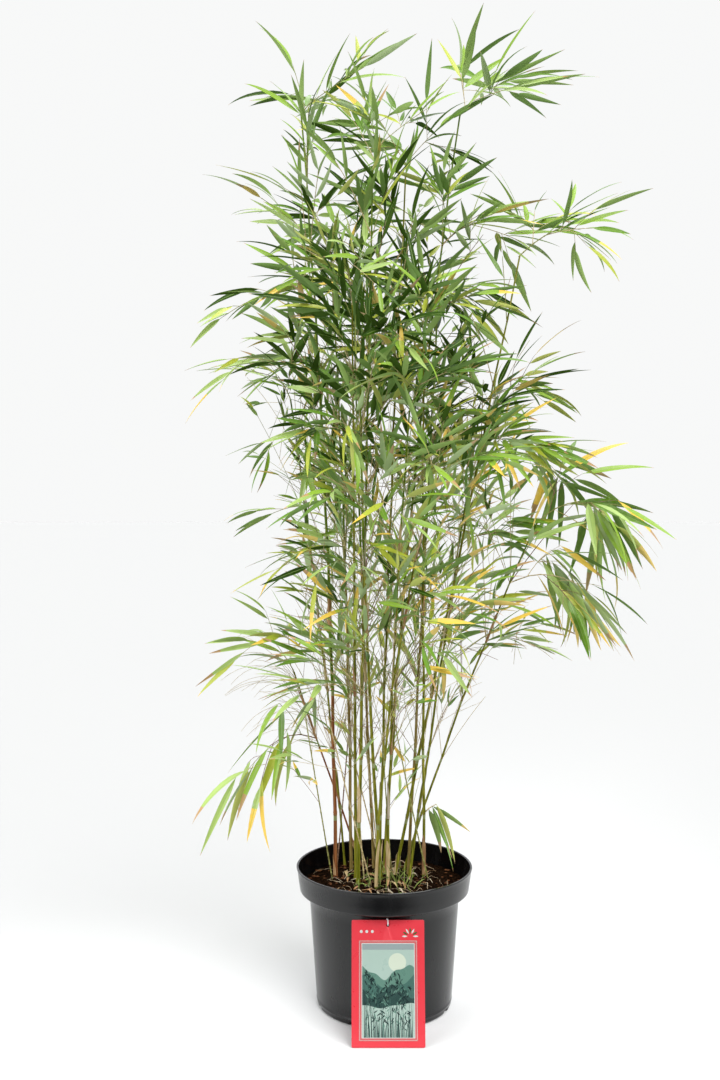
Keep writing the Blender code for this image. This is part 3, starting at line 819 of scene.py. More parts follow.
# %% [markdown]
# The print is our own quiet garden scene: a mint sky with a pale sun, rolling teal hills, and a
# pale lake with dark reeds in it. A picture file would be one way. Thin layers of ink, each a
# plate a few hundredths of a millimetre proud, are another: they stay crisp, and their shapes
# come from a handful of curves.

# %% Inks
INKS = {
    "label white": (0.50, 0.52, 0.50),
    "label mint": (0.30, 0.40, 0.35),
    "label sun": (0.46, 0.52, 0.42),
    "label pale hill": (0.090, 0.185, 0.145),
    "label teal hill": (0.045, 0.110, 0.090),
    "label deep hill": (0.022, 0.052, 0.046),
    "label reed": (0.007, 0.018, 0.018),
    "label grey": (0.22, 0.27, 0.27),
    "label rose": (0.44, 0.10, 0.10),
    "label leaf": (0.030, 0.090, 0.030),
}
WHITE, MINT, SUN, PALE_HILL, TEAL_HILL, DEEP_HILL, REED, GREY, ROSE, LEAF_GREEN = range(len(INKS))
ink_finishes = [card_finish(name, colour) for name, colour in INKS.items()]
tell(*ink_finishes)

# %% [markdown]
# The first layers frame the panel: rose and white lines, each a little smaller than the one it
# lies on, then the mint sky with its sun and a grey band.

# %% Frame and sky
PANEL = (-0.0405, 0.0405, 0.0135, 0.1500)  # left, right, low, high
PANEL_EDGE = 0.0010
FRAME = [  # how far past the panel, radius of the corners, ink
    (0.0042, 0.0012, ROSE),
    (0.0034, 0.0010, WHITE),
    (0.0030, 0.0008, ROSE),
    (0.0, 0.0005, WHITE),
    (-PANEL_EDGE, 0.0003, MINT),
]
SUN_PLACE = (0.014, 0.122)
SUN_SIZE = 0.027
GREY_BAND = 0.0085


def round_outline(x, y, width, height, steps=28):
    """The outline of an ellipse."""
    turns = [math.tau * i / steps for i in range(steps)]
    return [(x + width / 2 * math.cos(turn), y + height / 2 * math.sin(turn)) for turn in turns]


left, right, low, high = PANEL
layers = []  # (how many layers of ink deep, ink, outline)
for depth, (past, corner, ink) in enumerate(FRAME, 1):
    layers.append((depth, ink, rounded_box(left - past, right + past, low - past, high + past, corner)))
sky_left, sky_right = left + PANEL_EDGE, right - PANEL_EDGE
sky_low, sky_high = low + PANEL_EDGE, high - PANEL_EDGE
layers.append((6, SUN, round_outline(*SUN_PLACE, SUN_SIZE, SUN_SIZE)))
layers.append((6, GREY, rounded_box(sky_left, sky_right, sky_high - GREY_BAND, sky_high, 0.0003)))
print("frame and sky:", len(layers), "layers of ink")

# %% Hills and lake
HILLS = [  # base height, swell, waves across, shift, ink; the last is the lake
    (0.108, 0.0090, 1.1, 0.6, PALE_HILL),
    (0.096, 0.0100, 0.8, 2.4, TEAL_HILL),
    (0.080, 0.0080, 1.4, 4.1, DEEP_HILL),
    (0.060, 0.0030, 0.9, 1.0, MINT),
]
CREST_STEPS = 40


def hill_outline(base, swell, waves, shift):
    crest = []
    for i in range(CREST_STEPS + 1):
        share = i / CREST_STEPS
        turn = share * math.tau * waves
        wave = math.sin(turn + shift) + 0.3 * math.sin(turn * 2.7 + shift)
        crest.append((sky_right + (sky_left - sky_right) * share, base + swell * wave))
    return [(sky_left, sky_low), (sky_right, sky_low), *crest]


layers += [(7 + i, ink, hill_outline(*hill)) for i, (*hill, ink) in enumerate(HILLS)]
print("with the hills:", len(layers), "layers")

# %% [markdown]
# Reeds are blades that bend to one side, with small pointed leaves about them at all angles.
# Their inks take turns, so that they stand out from each other.

# %% Reeds
REEDS = 44
REED_LEAVES = 260
REED_INKS = (REED, DEEP_HILL, TEAL_HILL)
REED_LEAF_INKS = (REED, REED, DEEP_HILL, PALE_HILL)


def lozenge(x, y, length, width, turn):
    """A slim pointed leaf lying at an angle."""
    a = math.radians(turn)
    along, across = Vector((math.cos(a), math.sin(a))), Vector((-math.sin(a), math.cos(a)))
    middle = Vector((x, y))
    rows = [(i / 8 - 0.5, math.sin(math.pi * (i / 8))) for i in range(9)]
    upper = [middle + along * length * ahead + across * width / 2 * swell for ahead, swell in rows]
    lower = [middle + along * length * ahead - across * width / 2 * swell for ahead, swell in rows]
    return [tuple(point) for point in lower + upper[-2:0:-1]]


def reed_outline(x, length, bend, width):
    """A tapering blade that bends to one side."""
    shares = [i / 6 for i in range(7)]
    line = [(x + bend * s * s, sky_low + length * s, width / 2 * (1 - s)) for s in shares]
    return [(a - w, b) for a, b, w in line[::-1]] + [(a + w, b) for a, b, w in line][:-1]


print_rng = random.Random("print")
for i in range(REEDS):
    x = left + 0.004 + (right - left - 0.008) * (i + print_rng.uniform(-0.4, 0.4)) / (REEDS - 1)
    x = min(max(x, left + 0.003), right - 0.003)
    length = print_rng.uniform(0.036, 0.074) + 0.012 * math.sin(x * 150)
    room = min(x - left, right - x) - 0.002
    bend = max(-room, min(room, print_rng.uniform(-0.010, 0.010)))
    blade = reed_outline(x, length, bend, print_rng.uniform(0.0009, 0.0016))
    layers.append((11, REED_INKS[i % 3], blade))
for i in range(REED_LEAVES):
    x = print_rng.uniform(left + 0.006, right - 0.006)
    y = low + 0.012 + (0.072 + 0.012 * math.sin(x * 150)) * print_rng.random() ** 0.6
    length, width = print_rng.uniform(0.005, 0.009), print_rng.uniform(0.0010, 0.0018)
    leaf = lozenge(x, y, length, width, print_rng.uniform(20, 160))
    layers.append((12 + i % 3, REED_LEAF_INKS[i % 4], leaf))
print("with the reeds:", len(layers), "layers")

# %% Fan, dots, and the whole print
INK = 0.00005  # how far each layer stands above the one below
FAN_LEAVES = 7
FAN_MIDDLE = (0.034, 0.160)
FAN_RADIUS = 0.0085  # also the length of its leaves
DOTS = 3
DOT_SIZE = 0.0044

for i in range(FAN_LEAVES):
    turn = 180 * i / (FAN_LEAVES - 1)
    x = FAN_MIDDLE[0] + FAN_RADIUS * math.cos(math.radians(turn))
    y = FAN_MIDDLE[1] + FAN_RADIUS * math.sin(math.radians(turn))
    layers.append((4, LEAF_GREEN if i % 2 else WHITE, lozenge(x, y, FAN_RADIUS, 0.0026, turn)))
for i in range(DOTS):
    layers.append((4, WHITE, round_outline(-0.041 + 0.0085 * i, 0.1670, DOT_SIZE, DOT_SIZE, 20)))
ink_pile = Pile()
for depth, ink, outline in layers:
    ink_pile.add(*plate(outline, LABEL_THICKNESS - INK * 0.5, LABEL_THICKNESS + INK * depth), ink)
label_print = ink_pile.make("label_print", ink_finishes)
label_print.matrix_world = LABEL_FRAME
stands_for(label_print, "label_card", "label")

# %% [markdown]
# A short white plastic hook runs through the hole and over the card's top edge. A smooth curve
# through a few given points gives its bend, and a tube along that curve its body.

# %% Hook
TIE_RADIUS = 0.0008
TIE_STEPS = 4
TIE_SIDES = 12


def smooth_line(points, steps):
    """A smooth curve (Catmull-Rom) through some points."""
    ends = [points[0] * 2 - points[1], *points, points[-1] * 2 - points[-2]]
    line = []
    for a, b, c, d in zip(ends, ends[1:], ends[2:], ends[3:]):
        for i in range(steps):
            t = i / steps
            line.append(0.5 * (2 * b + (c - a) * t + (2 * a - 5 * b + 4 * c - d) * t**2
                               + (3 * b - a - 3 * c + d) * t**3))
    return [*line, points[-1]]


tie_plastic = new_finish("tie plastic", (0.82, 0.83, 0.84), 0.38, 0.5)
vary_roughness(tie_plastic, grain(tie_plastic, 200.0), 0.30, 0.46)
add_relief(tie_plastic, grain(tie_plastic, 500.0), 0.0001)

hole_height = LABEL_LENGTH - LABEL_HOLE_DROP
back, front = -TIE_RADIUS - GAP, LABEL_THICKNESS + TIE_RADIUS + GAP * 2
over = LABEL_LENGTH + TIE_RADIUS + GAP * 2
tie_route = [
    (0, hole_height - 0.0004, back + 0.0002),
    (0, hole_height, 0.0003),
    (0, hole_height + 0.0001, front),
    (0, hole_height + 0.0022, front + 0.0006),
    (0, LABEL_LENGTH - 0.0012, front + 0.0003),
    (-0.0006, over, front - 0.0003),
    (-0.0012, over + 0.0004, LABEL_THICKNESS * 0.3),
    (-0.0018, over - 0.0005, back - 0.0001),
    (-0.0022, over - 0.0026, back - 0.0001),
]
tie_line = smooth_line([Vector(point) for point in tie_route], TIE_STEPS)
hook = Pile()
hook.add(*tube(tie_line, [TIE_RADIUS * 0.96] * len(tie_line), TIE_SIDES), 0)
tie = hook.make("label_hook", [tie_plastic])
tie.matrix_world = LABEL_FRAME
stands_for(tie, "tie_plastic", "label_tie")

# %% [markdown]
# ## The canes
#
# Here is the plant's plan, the same as in the plain model. A clump has many canes of many ages.
# Each row gives a cane's foot, its tip, how early it leans out, and how thick it is. Below are
# its boughs, each with the height of its joint, its heading, rise, reach and droop. Everything
# that grows follows from this table.

# %% Plan of the plant
TIP = None  # a bough that goes on from its cane's own tip

Bough = namedtuple("Bough", "height heading rise reach weep")
Cane = namedtuple("Cane", "foot tip lean girth boughs")

CANES = [
    Cane((-0.081, 0.033), (-0.136, 0.020, 1.455), 0.30, 0.0038, [
        Bough(TIP, 15, 45, 0.20, 0.5), Bough(1.25, 155, 72, 0.21, 0.6),
        Bough(1.17, 183, 38, 0.25, 1.1), Bough(1.00, 178, 32, 0.24, 1.0),
        Bough(0.90, 236, 36, 0.22, 1.0),
    ]),
    Cane((-0.055, 0.060), (-0.090, 0.100, 1.250), 0.30, 0.0034, [
        Bough(TIP, 75, 62, 0.22, 0.7), Bough(1.02, 120, 45, 0.22, 0.9),
        Bough(0.74, 140, 50, 0.20, 1.0),
    ]),
    Cane((-0.047, 0.012), (-0.052, -0.070, 1.130), 0.40, 0.0034, [
        Bough(TIP, 255, 60, 0.22, 0.7), Bough(0.94, 240, 40, 0.22, 0.9),
        Bough(0.70, 232, 42, 0.21, 1.0),
    ]),
    Cane((-0.043, -0.012), (-0.020, -0.030, 1.350), 0.50, 0.0036, [
        Bough(TIP, 330, 65, 0.21, 0.6), Bough(0.55, 190, 45, 0.21, 1.0),
    ]),
    Cane((-0.066, 0.085), (-0.160, 0.115, 1.000), 0.45, 0.0023, [
        Bough(TIP, 150, 60, 0.21, 0.9), Bough(0.76, 110, 42, 0.21, 1.0),
    ]),
    Cane((-0.038, 0.084), (-0.150, 0.030, 0.540), 0.50, 0.0021, [
        Bough(TIP, 165, 60, 0.20, 1.0), Bough(0.44, 200, 25, 0.25, 1.9),
    ]),
    Cane((-0.016, 0.064), (-0.050, 0.140, 1.150), 0.60, 0.0030, [
        Bough(TIP, 110, 62, 0.21, 0.8), Bough(0.86, 85, 45, 0.22, 1.0),
    ]),
    Cane((-0.005, 0.010), (-0.040, -0.110, 1.030), 0.68, 0.0036, [
        Bough(TIP, 275, 60, 0.21, 0.8), Bough(0.78, 265, 42, 0.21, 1.0),
    ]),
    Cane((-0.007, 0.030), (0.035, 0.030, 1.360), 0.40, 0.0030, [
        Bough(TIP, 60, 65, 0.21, 0.6), Bough(1.12, 20, 50, 0.22, 0.9),
    ]),
    Cane((0.006, -0.004), (0.035, -0.130, 0.960), 0.30, 0.0025, [
        Bough(TIP, 310, 58, 0.21, 0.8), Bough(0.60, 320, 35, 0.21, 1.0),
    ]),
    Cane((0.001, 0.045), (0.125, 0.040, 1.460), 0.38, 0.0034, [
        Bough(TIP, 5, 46, 0.21, 0.5), Bough(1.22, 335, 52, 0.22, 0.8),
    ]),
    Cane((0.018, 0.030), (0.215, -0.030, 1.215), 0.50, 0.0032, [
        Bough(TIP, 356, 32, 0.25, 0.9), Bough(0.93, 325, 45, 0.21, 0.9),
    ]),
    Cane((0.041, 0.033), (0.095, 0.130, 1.160), 0.50, 0.0032, [
        Bough(TIP, 50, 60, 0.21, 0.8), Bough(0.88, 70, 45, 0.22, 1.0),
    ]),
    Cane((0.042, 0.020), (0.160, 0.060, 0.970), 0.50, 0.0028, [
        Bough(TIP, 15, 55, 0.21, 0.7), Bough(0.78, 40, 40, 0.22, 1.0),
    ]),
    Cane((0.067, 0.034), (0.060, -0.050, 1.080), 0.62, 0.0030, [
        Bough(TIP, 300, 62, 0.21, 0.8), Bough(0.27, 340, 66, 0.185, 1.6),
    ]),
    Cane((0.035, 0.060), (0.250, 0.000, 0.790), 0.45, 0.0025, [
        Bough(TIP, 0, 32, 0.24, 1.2), Bough(0.70, 338, 30, 0.25, 1.4),
        Bough(0.61, 10, 38, 0.20, 1.0),
    ]),
    Cane((-0.014, -0.028), (0.070, -0.130, 0.840), 0.30, 0.0027, [
        Bough(TIP, 300, 50, 0.21, 0.9),
    ]),
]
print("canes:", len(CANES), "boughs:", sum(len(cane.boughs) for cane in CANES))

# %% [markdown]
# A cane's middle follows a curve with one handle, and bears joints at even spacing. A real cane
# also turns a little at every joint, now to one side, now back. That zigzag makes it look grown.

# %% Joints
INTERNODE = 0.105


def joint_count(cane):
    """How many sections the cane has."""
    return max(3, round((cane.tip[2] - SOIL_TOP - GAP) / INTERNODE))


def joint_heights(cane):
    """Where the cane's joints are, evenly spaced from its foot to its tip."""
    foot, tip, count = SOIL_TOP + GAP, cane.tip[2], joint_count(cane)
    return [foot + (tip - foot) * joint / count for joint in range(1, count + 1)]


print("joints of the first cane:", [round(height, 3) for height in joint_heights(CANES[0])])

# %% Line and width of a cane
TIP_RADIUS = 0.0015
SLIM = 0.84  # a cane between its joints, as a share of its width over them
KINK = 0.0011  # how far its middle steps aside at a joint


def cane_centre(cane, height):
    """The cane's middle at a height above the ground."""
    foot, tip = Vector((*cane.foot, SOIL_TOP + GAP)), Vector(cane.tip)
    t = (height - foot.z) / (tip.z - foot.z)
    early = 2 * cane.lean - 0.5
    share = 2 * (1 - t) * t * early + t * t
    return Vector((foot.x + (tip.x - foot.x) * share, foot.y + (tip.y - foot.y) * share, height))


def kinked_centre(cane, height):
    """The skin's middle: a real cane turns a little at every joint, now to one side, now back."""
    foot, tip = SOIL_TOP + GAP, cane.tip[2]
    count = joint_count(cane)
    place = min(max((height - foot) / (tip - foot), 0.0), 0.9999) * count
    joints = int(place), int(place) + 1
    below, above = (0 if joint in (0, count) else (-1) ** joint for joint in joints)
    swing = KINK * (below + (above - below) * (place % 1))
    turn = cane.foot[0] * 900
    return cane_centre(cane, height) + Vector((math.cos(turn), math.sin(turn), 0)) * swing


def cane_radius(cane, height):
    """The skin's radius between joints: the plain cane's is measured over the joints."""
    t = (height - SOIL_TOP) / (cane.tip[2] - SOIL_TOP)
    return SLIM * (cane.girth + (TIP_RADIUS - cane.girth) * t)


print("first cane at 1 m:", [round(value, 3) for value in kinked_centre(CANES[0], 1.0)])

# %% [markdown]
# A cane's skin tells its story at every joint: a thin dry scar where the old sheath sat, a
# swollen ridge just above it, and a pale waxy bloom below. In between it is smooth, olive or
# green, and old canes go russet in the sun. So the skin is a tube whose rings bunch up at each
# joint, each ring with its own radius and finish. The streaks along it are noise again, squeezed
# along Z.

# %% Cane finishes
def cane_finish(name, colours):
    """A satin skin with fine streaks along it, in three colours."""
    material = new_finish(name, colours[1], 0.42, 0.16)
    mottle(material, grain(material, 420.0, (1, 1, 0.035), 4), colours)
    vary_roughness(material, grain(material, 150.0, (1, 1, 0.2)), 0.34, 0.54)
    add_relief(material, grain(material, 900.0, (1, 1, 0.03), 3), 0.00012)
    return material


CANE_SKINS = {
    "cane olive": [(0.058, 0.070, 0.003), (0.165, 0.172, 0.010), (0.340, 0.310, 0.045)],
    "cane green": [(0.040, 0.085, 0.003), (0.105, 0.170, 0.009), (0.235, 0.290, 0.035)],
    "cane russet": [(0.110, 0.032, 0.010), (0.265, 0.095, 0.032), (0.420, 0.200, 0.080)],
    "cane straw": [(0.120, 0.082, 0.020), (0.240, 0.175, 0.048), (0.380, 0.300, 0.115)],
    "joint scar": [(0.075, 0.040, 0.014), (0.195, 0.120, 0.046), (0.390, 0.285, 0.135)],
    "joint bloom": [(0.160, 0.190, 0.055), (0.255, 0.285, 0.110), (0.370, 0.395, 0.205)],
}
OLIVE, GREEN, RUSSET, STRAW, SCAR, BLOOM = range(len(CANE_SKINS))
cane_finishes = [cane_finish(name, colours) for name, colours in CANE_SKINS.items()]
tell(*cane_finishes)

# %% Rings of a cane
FLARE = 1.15
FLARE_HEIGHT = 0.018
FLAT_RINGS = 4  # between two joints
# Round each joint: height from it, radius as a share of the cane's, and the finish above it
# (None: the cane's own).
JOINT = [
    (-0.0110, 0.985, BLOOM),
    (-0.0030, 1.000, None),
    (-0.0021, 1.040, SCAR),
    (-0.0015, 1.150, SCAR),
    (-0.0009, 1.120, None),
    (-0.0003, 1.020, None),
    (0.0010, 1.140, None),
    (0.0026, 1.200, None),
    (0.0046, 1.070, None),
    (0.0080, 1.000, None),
]


def skin_kinds(number):
    """The finish of a cane low down and higher up: the oldest ones stand on the left."""
    low = {1: RUSSET, 2: STRAW, 5: OLIVE, 6: RUSSET, 7: STRAW, 13: STRAW}.get(number, OLIVE)
    high = GREEN if number % 3 else OLIVE
    return low, high


def cane_rings(cane, number):
    """(height, radius, finish above it) of each ring of a cane's skin."""
    low, high = skin_kinds(number)
    joints = joint_heights(cane)
    change = joints[2 if low == RUSSET else 4 if len(joints) > 5 else 1]
    foot = SOIL_TOP - 0.006
    rings = [(foot, cane.girth * FLARE, low), (SOIL_TOP + 0.006, cane.girth, low),
             (SOIL_TOP + FLARE_HEIGHT, cane.girth * SLIM, low)]
    below = SOIL_TOP + FLARE_HEIGHT
    for joint in joints[:-1]:
        for i in range(1, FLAT_RINGS):
            height = below + (joint - 0.011 - below) * i / FLAT_RINGS
            rings.append((height, cane_radius(cane, height), low if height < change else high))
        for rise, share, kind in JOINT:
            height = joint + rise
            own = low if height < change else high
            rings.append((height, cane_radius(cane, height) * share, own if kind is None else kind))
        below = joint + JOINT[-1][0]
    tip = joints[-1]
    rings.append(((below + tip) / 2, cane_radius(cane, (below + tip) / 2), high))
    rings.append((tip, TIP_RADIUS * 0.9, high))
    return rings


print("rings on the first cane:", len(cane_rings(CANES[0], 1)))

# %% Cane skins
CANE_SIDES = 14
CANE_SHARP = 55


def make_cane(number, cane):
    rings = cane_rings(cane, number)
    line = [kinked_centre(cane, height) for height, _, _ in rings]
    points, faces = tube(line, [radius for _, radius, _ in rings], CANE_SIDES, first_normal=UP)
    kinds = [kind for _, _, kind in rings[:-1] for _ in range(CANE_SIDES)] + [rings[0][2], rings[-1][2]]
    pile = Pile()
    pile.add(points, faces, kinds)
    return pile.make(f"cane_skin_{number:02d}", cane_finishes, CANE_SHARP)


for number, cane in enumerate(CANES, 1):
    stands_for(make_cane(number, cane), "cane", f"cane_{number:02d}")

# %% [markdown]
# ## Sheaths
#
# Each section of a young cane is wrapped in a papery sheath that dries to straw. Low down many
# still cling on: a strip that hugs the cane at its joint and narrows to a loose point. We bend a
# grid round the cane and give it thickness by hand, as a second grid a little further out, so
# that it is a closed, solid flake.

# %% Flakes
def flake(grid, thickness):
    """A closed solid from a grid of points (rows of equal length), thickened along its normals."""
    rows, columns = len(grid), len(grid[0])
    inner, outer = [], []
    for r in range(rows):
        for c in range(columns):
            along = grid[min(r + 1, rows - 1)][c] - grid[max(r - 1, 0)][c]
            across = grid[r][min(c + 1, columns - 1)] - grid[r][max(c - 1, 0)]
            normal = along.cross(across)
            normal = normal.normalized() if normal.length > 1e-12 else UP
            inner.append(grid[r][c] - normal * thickness / 2)
            outer.append(grid[r][c] + normal * thickness / 2)
    size = rows * columns
    faces = []
    for r in range(rows - 1):
        for c in range(columns - 1):
            a, b = r * columns + c, (r + 1) * columns + c
            faces.append((a, a + 1, b + 1, b))
            faces.append((size + a, size + b, size + b + 1, size + a + 1))
    rim = list(range(columns)) + [r * columns + columns - 1 for r in range(1, rows)]
    rim += [(rows - 1) * columns + c for c in range(columns - 2, -1, -1)]
    rim += [r * columns for r in range(rows - 2, 0, -1)]
    for a, b in zip(rim, rim[1:] + rim[:1]):
        faces.append((a, size + a, size + b, b))
    return inner + outer, faces


trial_grid = [[Vector((x, y, 0)) for x in (0, 1)] for y in (0, 1)]
print("a flake of one square has", len(flake(trial_grid, 0.1)[1]), "faces")

# %% Sheath finishes
def paper_finish(name, colours):
    """Dry paper with fibres along it, in three colours."""
    material = new_finish(name, colours[1], 0.75, 0.25)
    mottle(material, grain(material, 380.0, (1, 1, 0.06), 4), colours)
    vary_roughness(material, grain(material, 120.0), 0.62, 0.85)
    add_relief(material, grain(material, 1100.0, (1, 1, 0.05), 3), 0.0002)
    return material


sheath_finishes = [
    paper_finish("sheath straw", [(0.34, 0.24, 0.10), (0.48, 0.36, 0.18), (0.62, 0.50, 0.30)]),
    paper_finish("sheath tan", [(0.22, 0.11, 0.045), (0.36, 0.20, 0.09), (0.50, 0.32, 0.17)]),
    paper_finish("sheath grey", [(0.34, 0.28, 0.19), (0.46, 0.39, 0.28), (0.58, 0.52, 0.40)]),
    paper_finish("young blade", [(0.070, 0.110, 0.018), (0.150, 0.200, 0.040), (0.300, 0.340, 0.110)]),
]
SHEATH_STRAW, SHEATH_TAN, SHEATH_GREY, YOUNG_BLADE = range(len(sheath_finishes))
tell(*sheath_finishes)

# %% Sheaths
SHEATHS_TO = 0.78  # height above which they have all dropped
SHEATH_CHANCE = 0.34
SHEATH_THICK = 0.00022
SHEATH_ROWS, SHEATH_COLUMNS = 9, 13
SHEATH_SHARP = 50
SHEATH_KINDS = (SHEATH_STRAW, SHEATH_STRAW, SHEATH_TAN, SHEATH_TAN, SHEATH_GREY)


def sheath_grid(cane, joint, length, start, wrap, loose):
    """A strip wrapped round the cane above a joint. It covers an angle, wrap, that shrinks to a
    point at its top, and comes loose from the cane by then."""
    grid = []
    for r in range(SHEATH_ROWS):
        share = r / (SHEATH_ROWS - 1)
        height = joint - 0.0014 + length * share
        middle = kinked_centre(cane, height)
        radius = cane_radius(cane, height) * (1.16 if r == 0 else 1.10) + 0.00035 + loose * share**3
        angle = wrap * (1 - share**2.2 * 0.94)
        row = []
        for c in range(SHEATH_COLUMNS):
            turn = start + angle * (c / (SHEATH_COLUMNS - 1) - 0.5)
            row.append(middle + Vector((math.cos(turn), math.sin(turn), 0)) * radius)
        grid.append(row)
    return grid


def make_sheaths():
    rng = random.Random("sheaths")
    pile = Pile()
    count = 0
    for cane in CANES:
        joints = [SOIL_TOP + 0.004, *joint_heights(cane)]
        for joint, after in zip(joints, joints[1:]):
            chance, kind = rng.random(), rng.choice(SHEATH_KINDS)
            share, start = rng.uniform(0.30, 0.80), rng.uniform(0, math.tau)
            wrap, loose = rng.uniform(3.6, 6.0), rng.uniform(0.0002, 0.0030)
            if joint < SHEATHS_TO and chance < SHEATH_CHANCE:
                grid = sheath_grid(cane, joint, (after - joint) * share, start, wrap, loose)
                pile.add(*flake(grid, SHEATH_THICK), kind)
                count += 1
    print("sheaths:", count)
    return pile.make("cane_sheaths", sheath_finishes, SHEATH_SHARP)


stands_for(make_sheaths(), "cane", *(f"cane_{number:02d}" for number in range(1, len(CANES) + 1)))

# %% [markdown]
# ## Growing boughs
#
# A bough leaves its cane at a joint, bends down under its own weight, and puts out side twigs in
# a spiral. Every piece must find room: a twig or leaf is tried in a few slightly different
# directions and dropped if it would touch a neighbour. The room already taken is kept as plain
# triangles in a search tree, which finds touching shapes quickly. Random draws come from a
# generator seeded by the mass's own name, so each grows alike every time.
#
# The plain model has few, broad leaves. We grow the same stems and side twigs, then carry them on:
# longer twigs, second twigs on the first ones, and many more, narrower leaves in the same reach.

# %% Headings and lines
def heading_vector(heading, rise):
    """A unit vector from a compass heading and a rise, both in degrees."""
    a, b = math.radians(heading), math.radians(rise)
    return Vector((math.cos(a) * math.cos(b), math.sin(a) * math.cos(b), math.sin(b)))


def drooping_line(start, direction, length, weep, steps):
    """A line that sets off in a direction and bends down evenly along its length."""
    points, heading = [start], direction.copy()
    for _ in range(steps):
        points.append(points[-1] + heading * (length / steps))
        heading = (heading - UP * (weep / steps)).normalized()
    return points


def along_line(points, share):
    """(place, direction) at a share of a line's length."""
    spans = len(points) - 1
    place = min(share, 0.9999) * spans
    i = int(place)
    step = points[i + 1] - points[i]
    return points[i] + step * (place - i), step.normalized()


trial_line = drooping_line(Vector((0, 0, 0)), heading_vector(0, 45), 0.2, 1.0, 4)
print("0.2 m set off at 45 degrees with a weep of 1 end", round(trial_line[-1].z, 3), "m up")

# %% [markdown]
# Before anything grows, the pot, the soil, the label and the canes book their room. Whatever
# grows is tested against all booked pieces but its own.

# %% Room already taken
class Space:
    """The room already taken, piece by piece."""

    def __init__(self):
        self.pieces = {}

    def take(self, name, points, faces):
        held_points, held_faces = self.pieces.setdefault(name, ([], []))
        base = len(held_points)
        held_points.extend(Vector(p) for p in points)
        held_faces.extend(tuple(base + i for i in face) for face in faces)

    def take_object(self, obj):
        mesh = obj.data
        self.take(obj.name, [v.co for v in mesh.vertices], [tuple(p.vertices) for p in mesh.polygons])

    def tree(self, leave_out=None):
        """A search tree over every piece but one."""
        all_points, all_faces = [], []
        for name, (points, faces) in self.pieces.items():
            if name != leave_out:
                base = len(all_points)
                all_points.extend(points)
                all_faces.extend(tuple(base + i for i in face) for face in faces)
        return BVHTree.FromPolygons(all_points, all_faces)


def touches(tree, points, faces):
    """True where a shape would cut what is in the tree."""
    return bool(tree.overlap(BVHTree.FromPolygons(points, faces)))


space = Space()
for name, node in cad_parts.items():
    if not name.startswith("foliage"):
        space.take_object(node)
print("room is taken by", len(space.pieces), "pieces")

# %% [markdown]
# A stem leaves its cane at the joint nearest to the plan's height, or goes on from the tip. If it
# would touch something, its heading swings to either side, further each time.

# %% Stems
PLAIN_TWIG, PLAIN_LEAF = 0.055, 0.118  # the plain model's lengths, which set how long a stem is
STEM_RADIUS = TIP_RADIUS
THIN_TO = 0.8  # a stem's or twig's end, as a share of its start
STEM_STEPS = 3
TWIG_SIDES = 3
CLEARANCE = 0.0007
TRIES = 8


def bough_root(cane, cane_tree, bough):
    """Where a bough's stem starts, 0.3 mm off its cane, and the way its flat end faces."""
    if bough.height is TIP:
        tip = Vector(cane.tip)
        below = joint_heights(cane)[-2]
        ahead = (tip - cane_centre(cane, below)).normalized()
        return tip + ahead * GAP, ahead
    outward = heading_vector(bough.heading, 0)
    joint = min(joint_heights(cane), key=lambda height: abs(height - bough.height))
    middle = cane_centre(cane, joint)
    hit, normal, _, _ = cane_tree.ray_cast(middle + outward * 0.02, -outward)
    return hit + normal * GAP, normal


def grow_stem(bough, root, facing, taken):
    """A bough's main stem: the first of some slightly different headings that stays clear."""
    length = max(0.02, bough.reach - PLAIN_TWIG - PLAIN_LEAF * 0.9)
    radii = [STEM_RADIUS * (1 - (1 - THIN_TO) * i / STEM_STEPS) for i in range(STEM_STEPS + 1)]
    for attempt in range(TRIES * 3):
        swing = (attempt + 1) // 2 * 5 * (-1) ** attempt
        direction = (heading_vector(bough.heading + swing, bough.rise) + facing * 0.25).normalized()
        points = drooping_line(root, direction, length, bough.weep * 0.6, STEM_STEPS)
        swollen = tube(points[1:], [r + CLEARANCE for r in radii[1:]], TWIG_SIDES)
        solid = tube(points, radii, TWIG_SIDES, first_normal=facing)
        if not touches(taken, *swollen) and not touches(taken, *solid):
            return points, solid
    return None


skins = {name: BVHTree.FromPolygons(*held) for name, held in space.pieces.items() if "cane" in name}
stems = {}
for number, cane in enumerate(CANES, 1):
    for letter, bough in zip("abcdefgh", cane.boughs):
        name = f"foliage_{number:02d}{letter}"
        root, facing = bough_root(cane, skins[f"cane_{number:02d}"], bough)
        stem = grow_stem(bough, root, facing, space.tree())
        stems[name] = (number, bough, stem[0])
        space.take(name, *stem[1])
print("stems:", len(stems))

# %% [markdown]
# A leaf's midrib starts a little upward and curls down towards the tip. The curve serves twice: a
# rough stand-in tests for room now, and the fine blade follows it later.

# %% The leaf's curve
LEAF_LIFT = 6.0  # degrees that a leaf rises where it starts
LEAF_BELLY = 0.36  # where it is widest, as a share of its length

Leaf = namedtuple("Leaf", "root along normal length width curl twist tint")


def leaf_way(leaf, across, share):
    """The direction of a leaf's midrib at a share of its length."""
    lean = math.radians(LEAF_LIFT - (LEAF_LIFT + leaf.curl) * share**1.4)
    return Matrix.Rotation(lean, 3, across) @ leaf.along


def leaf_line(leaf, share):
    """(place, direction, normal) at a share of a leaf's length."""
    across = leaf.along.cross(leaf.normal).normalized()
    place = leaf.root.copy()
    steps = max(1, round(share * 8))
    for i in range(steps):
        middle = share * (i + 0.5) / steps
        place = place + leaf_way(leaf, across, middle) * (leaf.length * share / steps)
    direction = leaf_way(leaf, across, share)
    return place, direction, across.cross(direction).normalized()


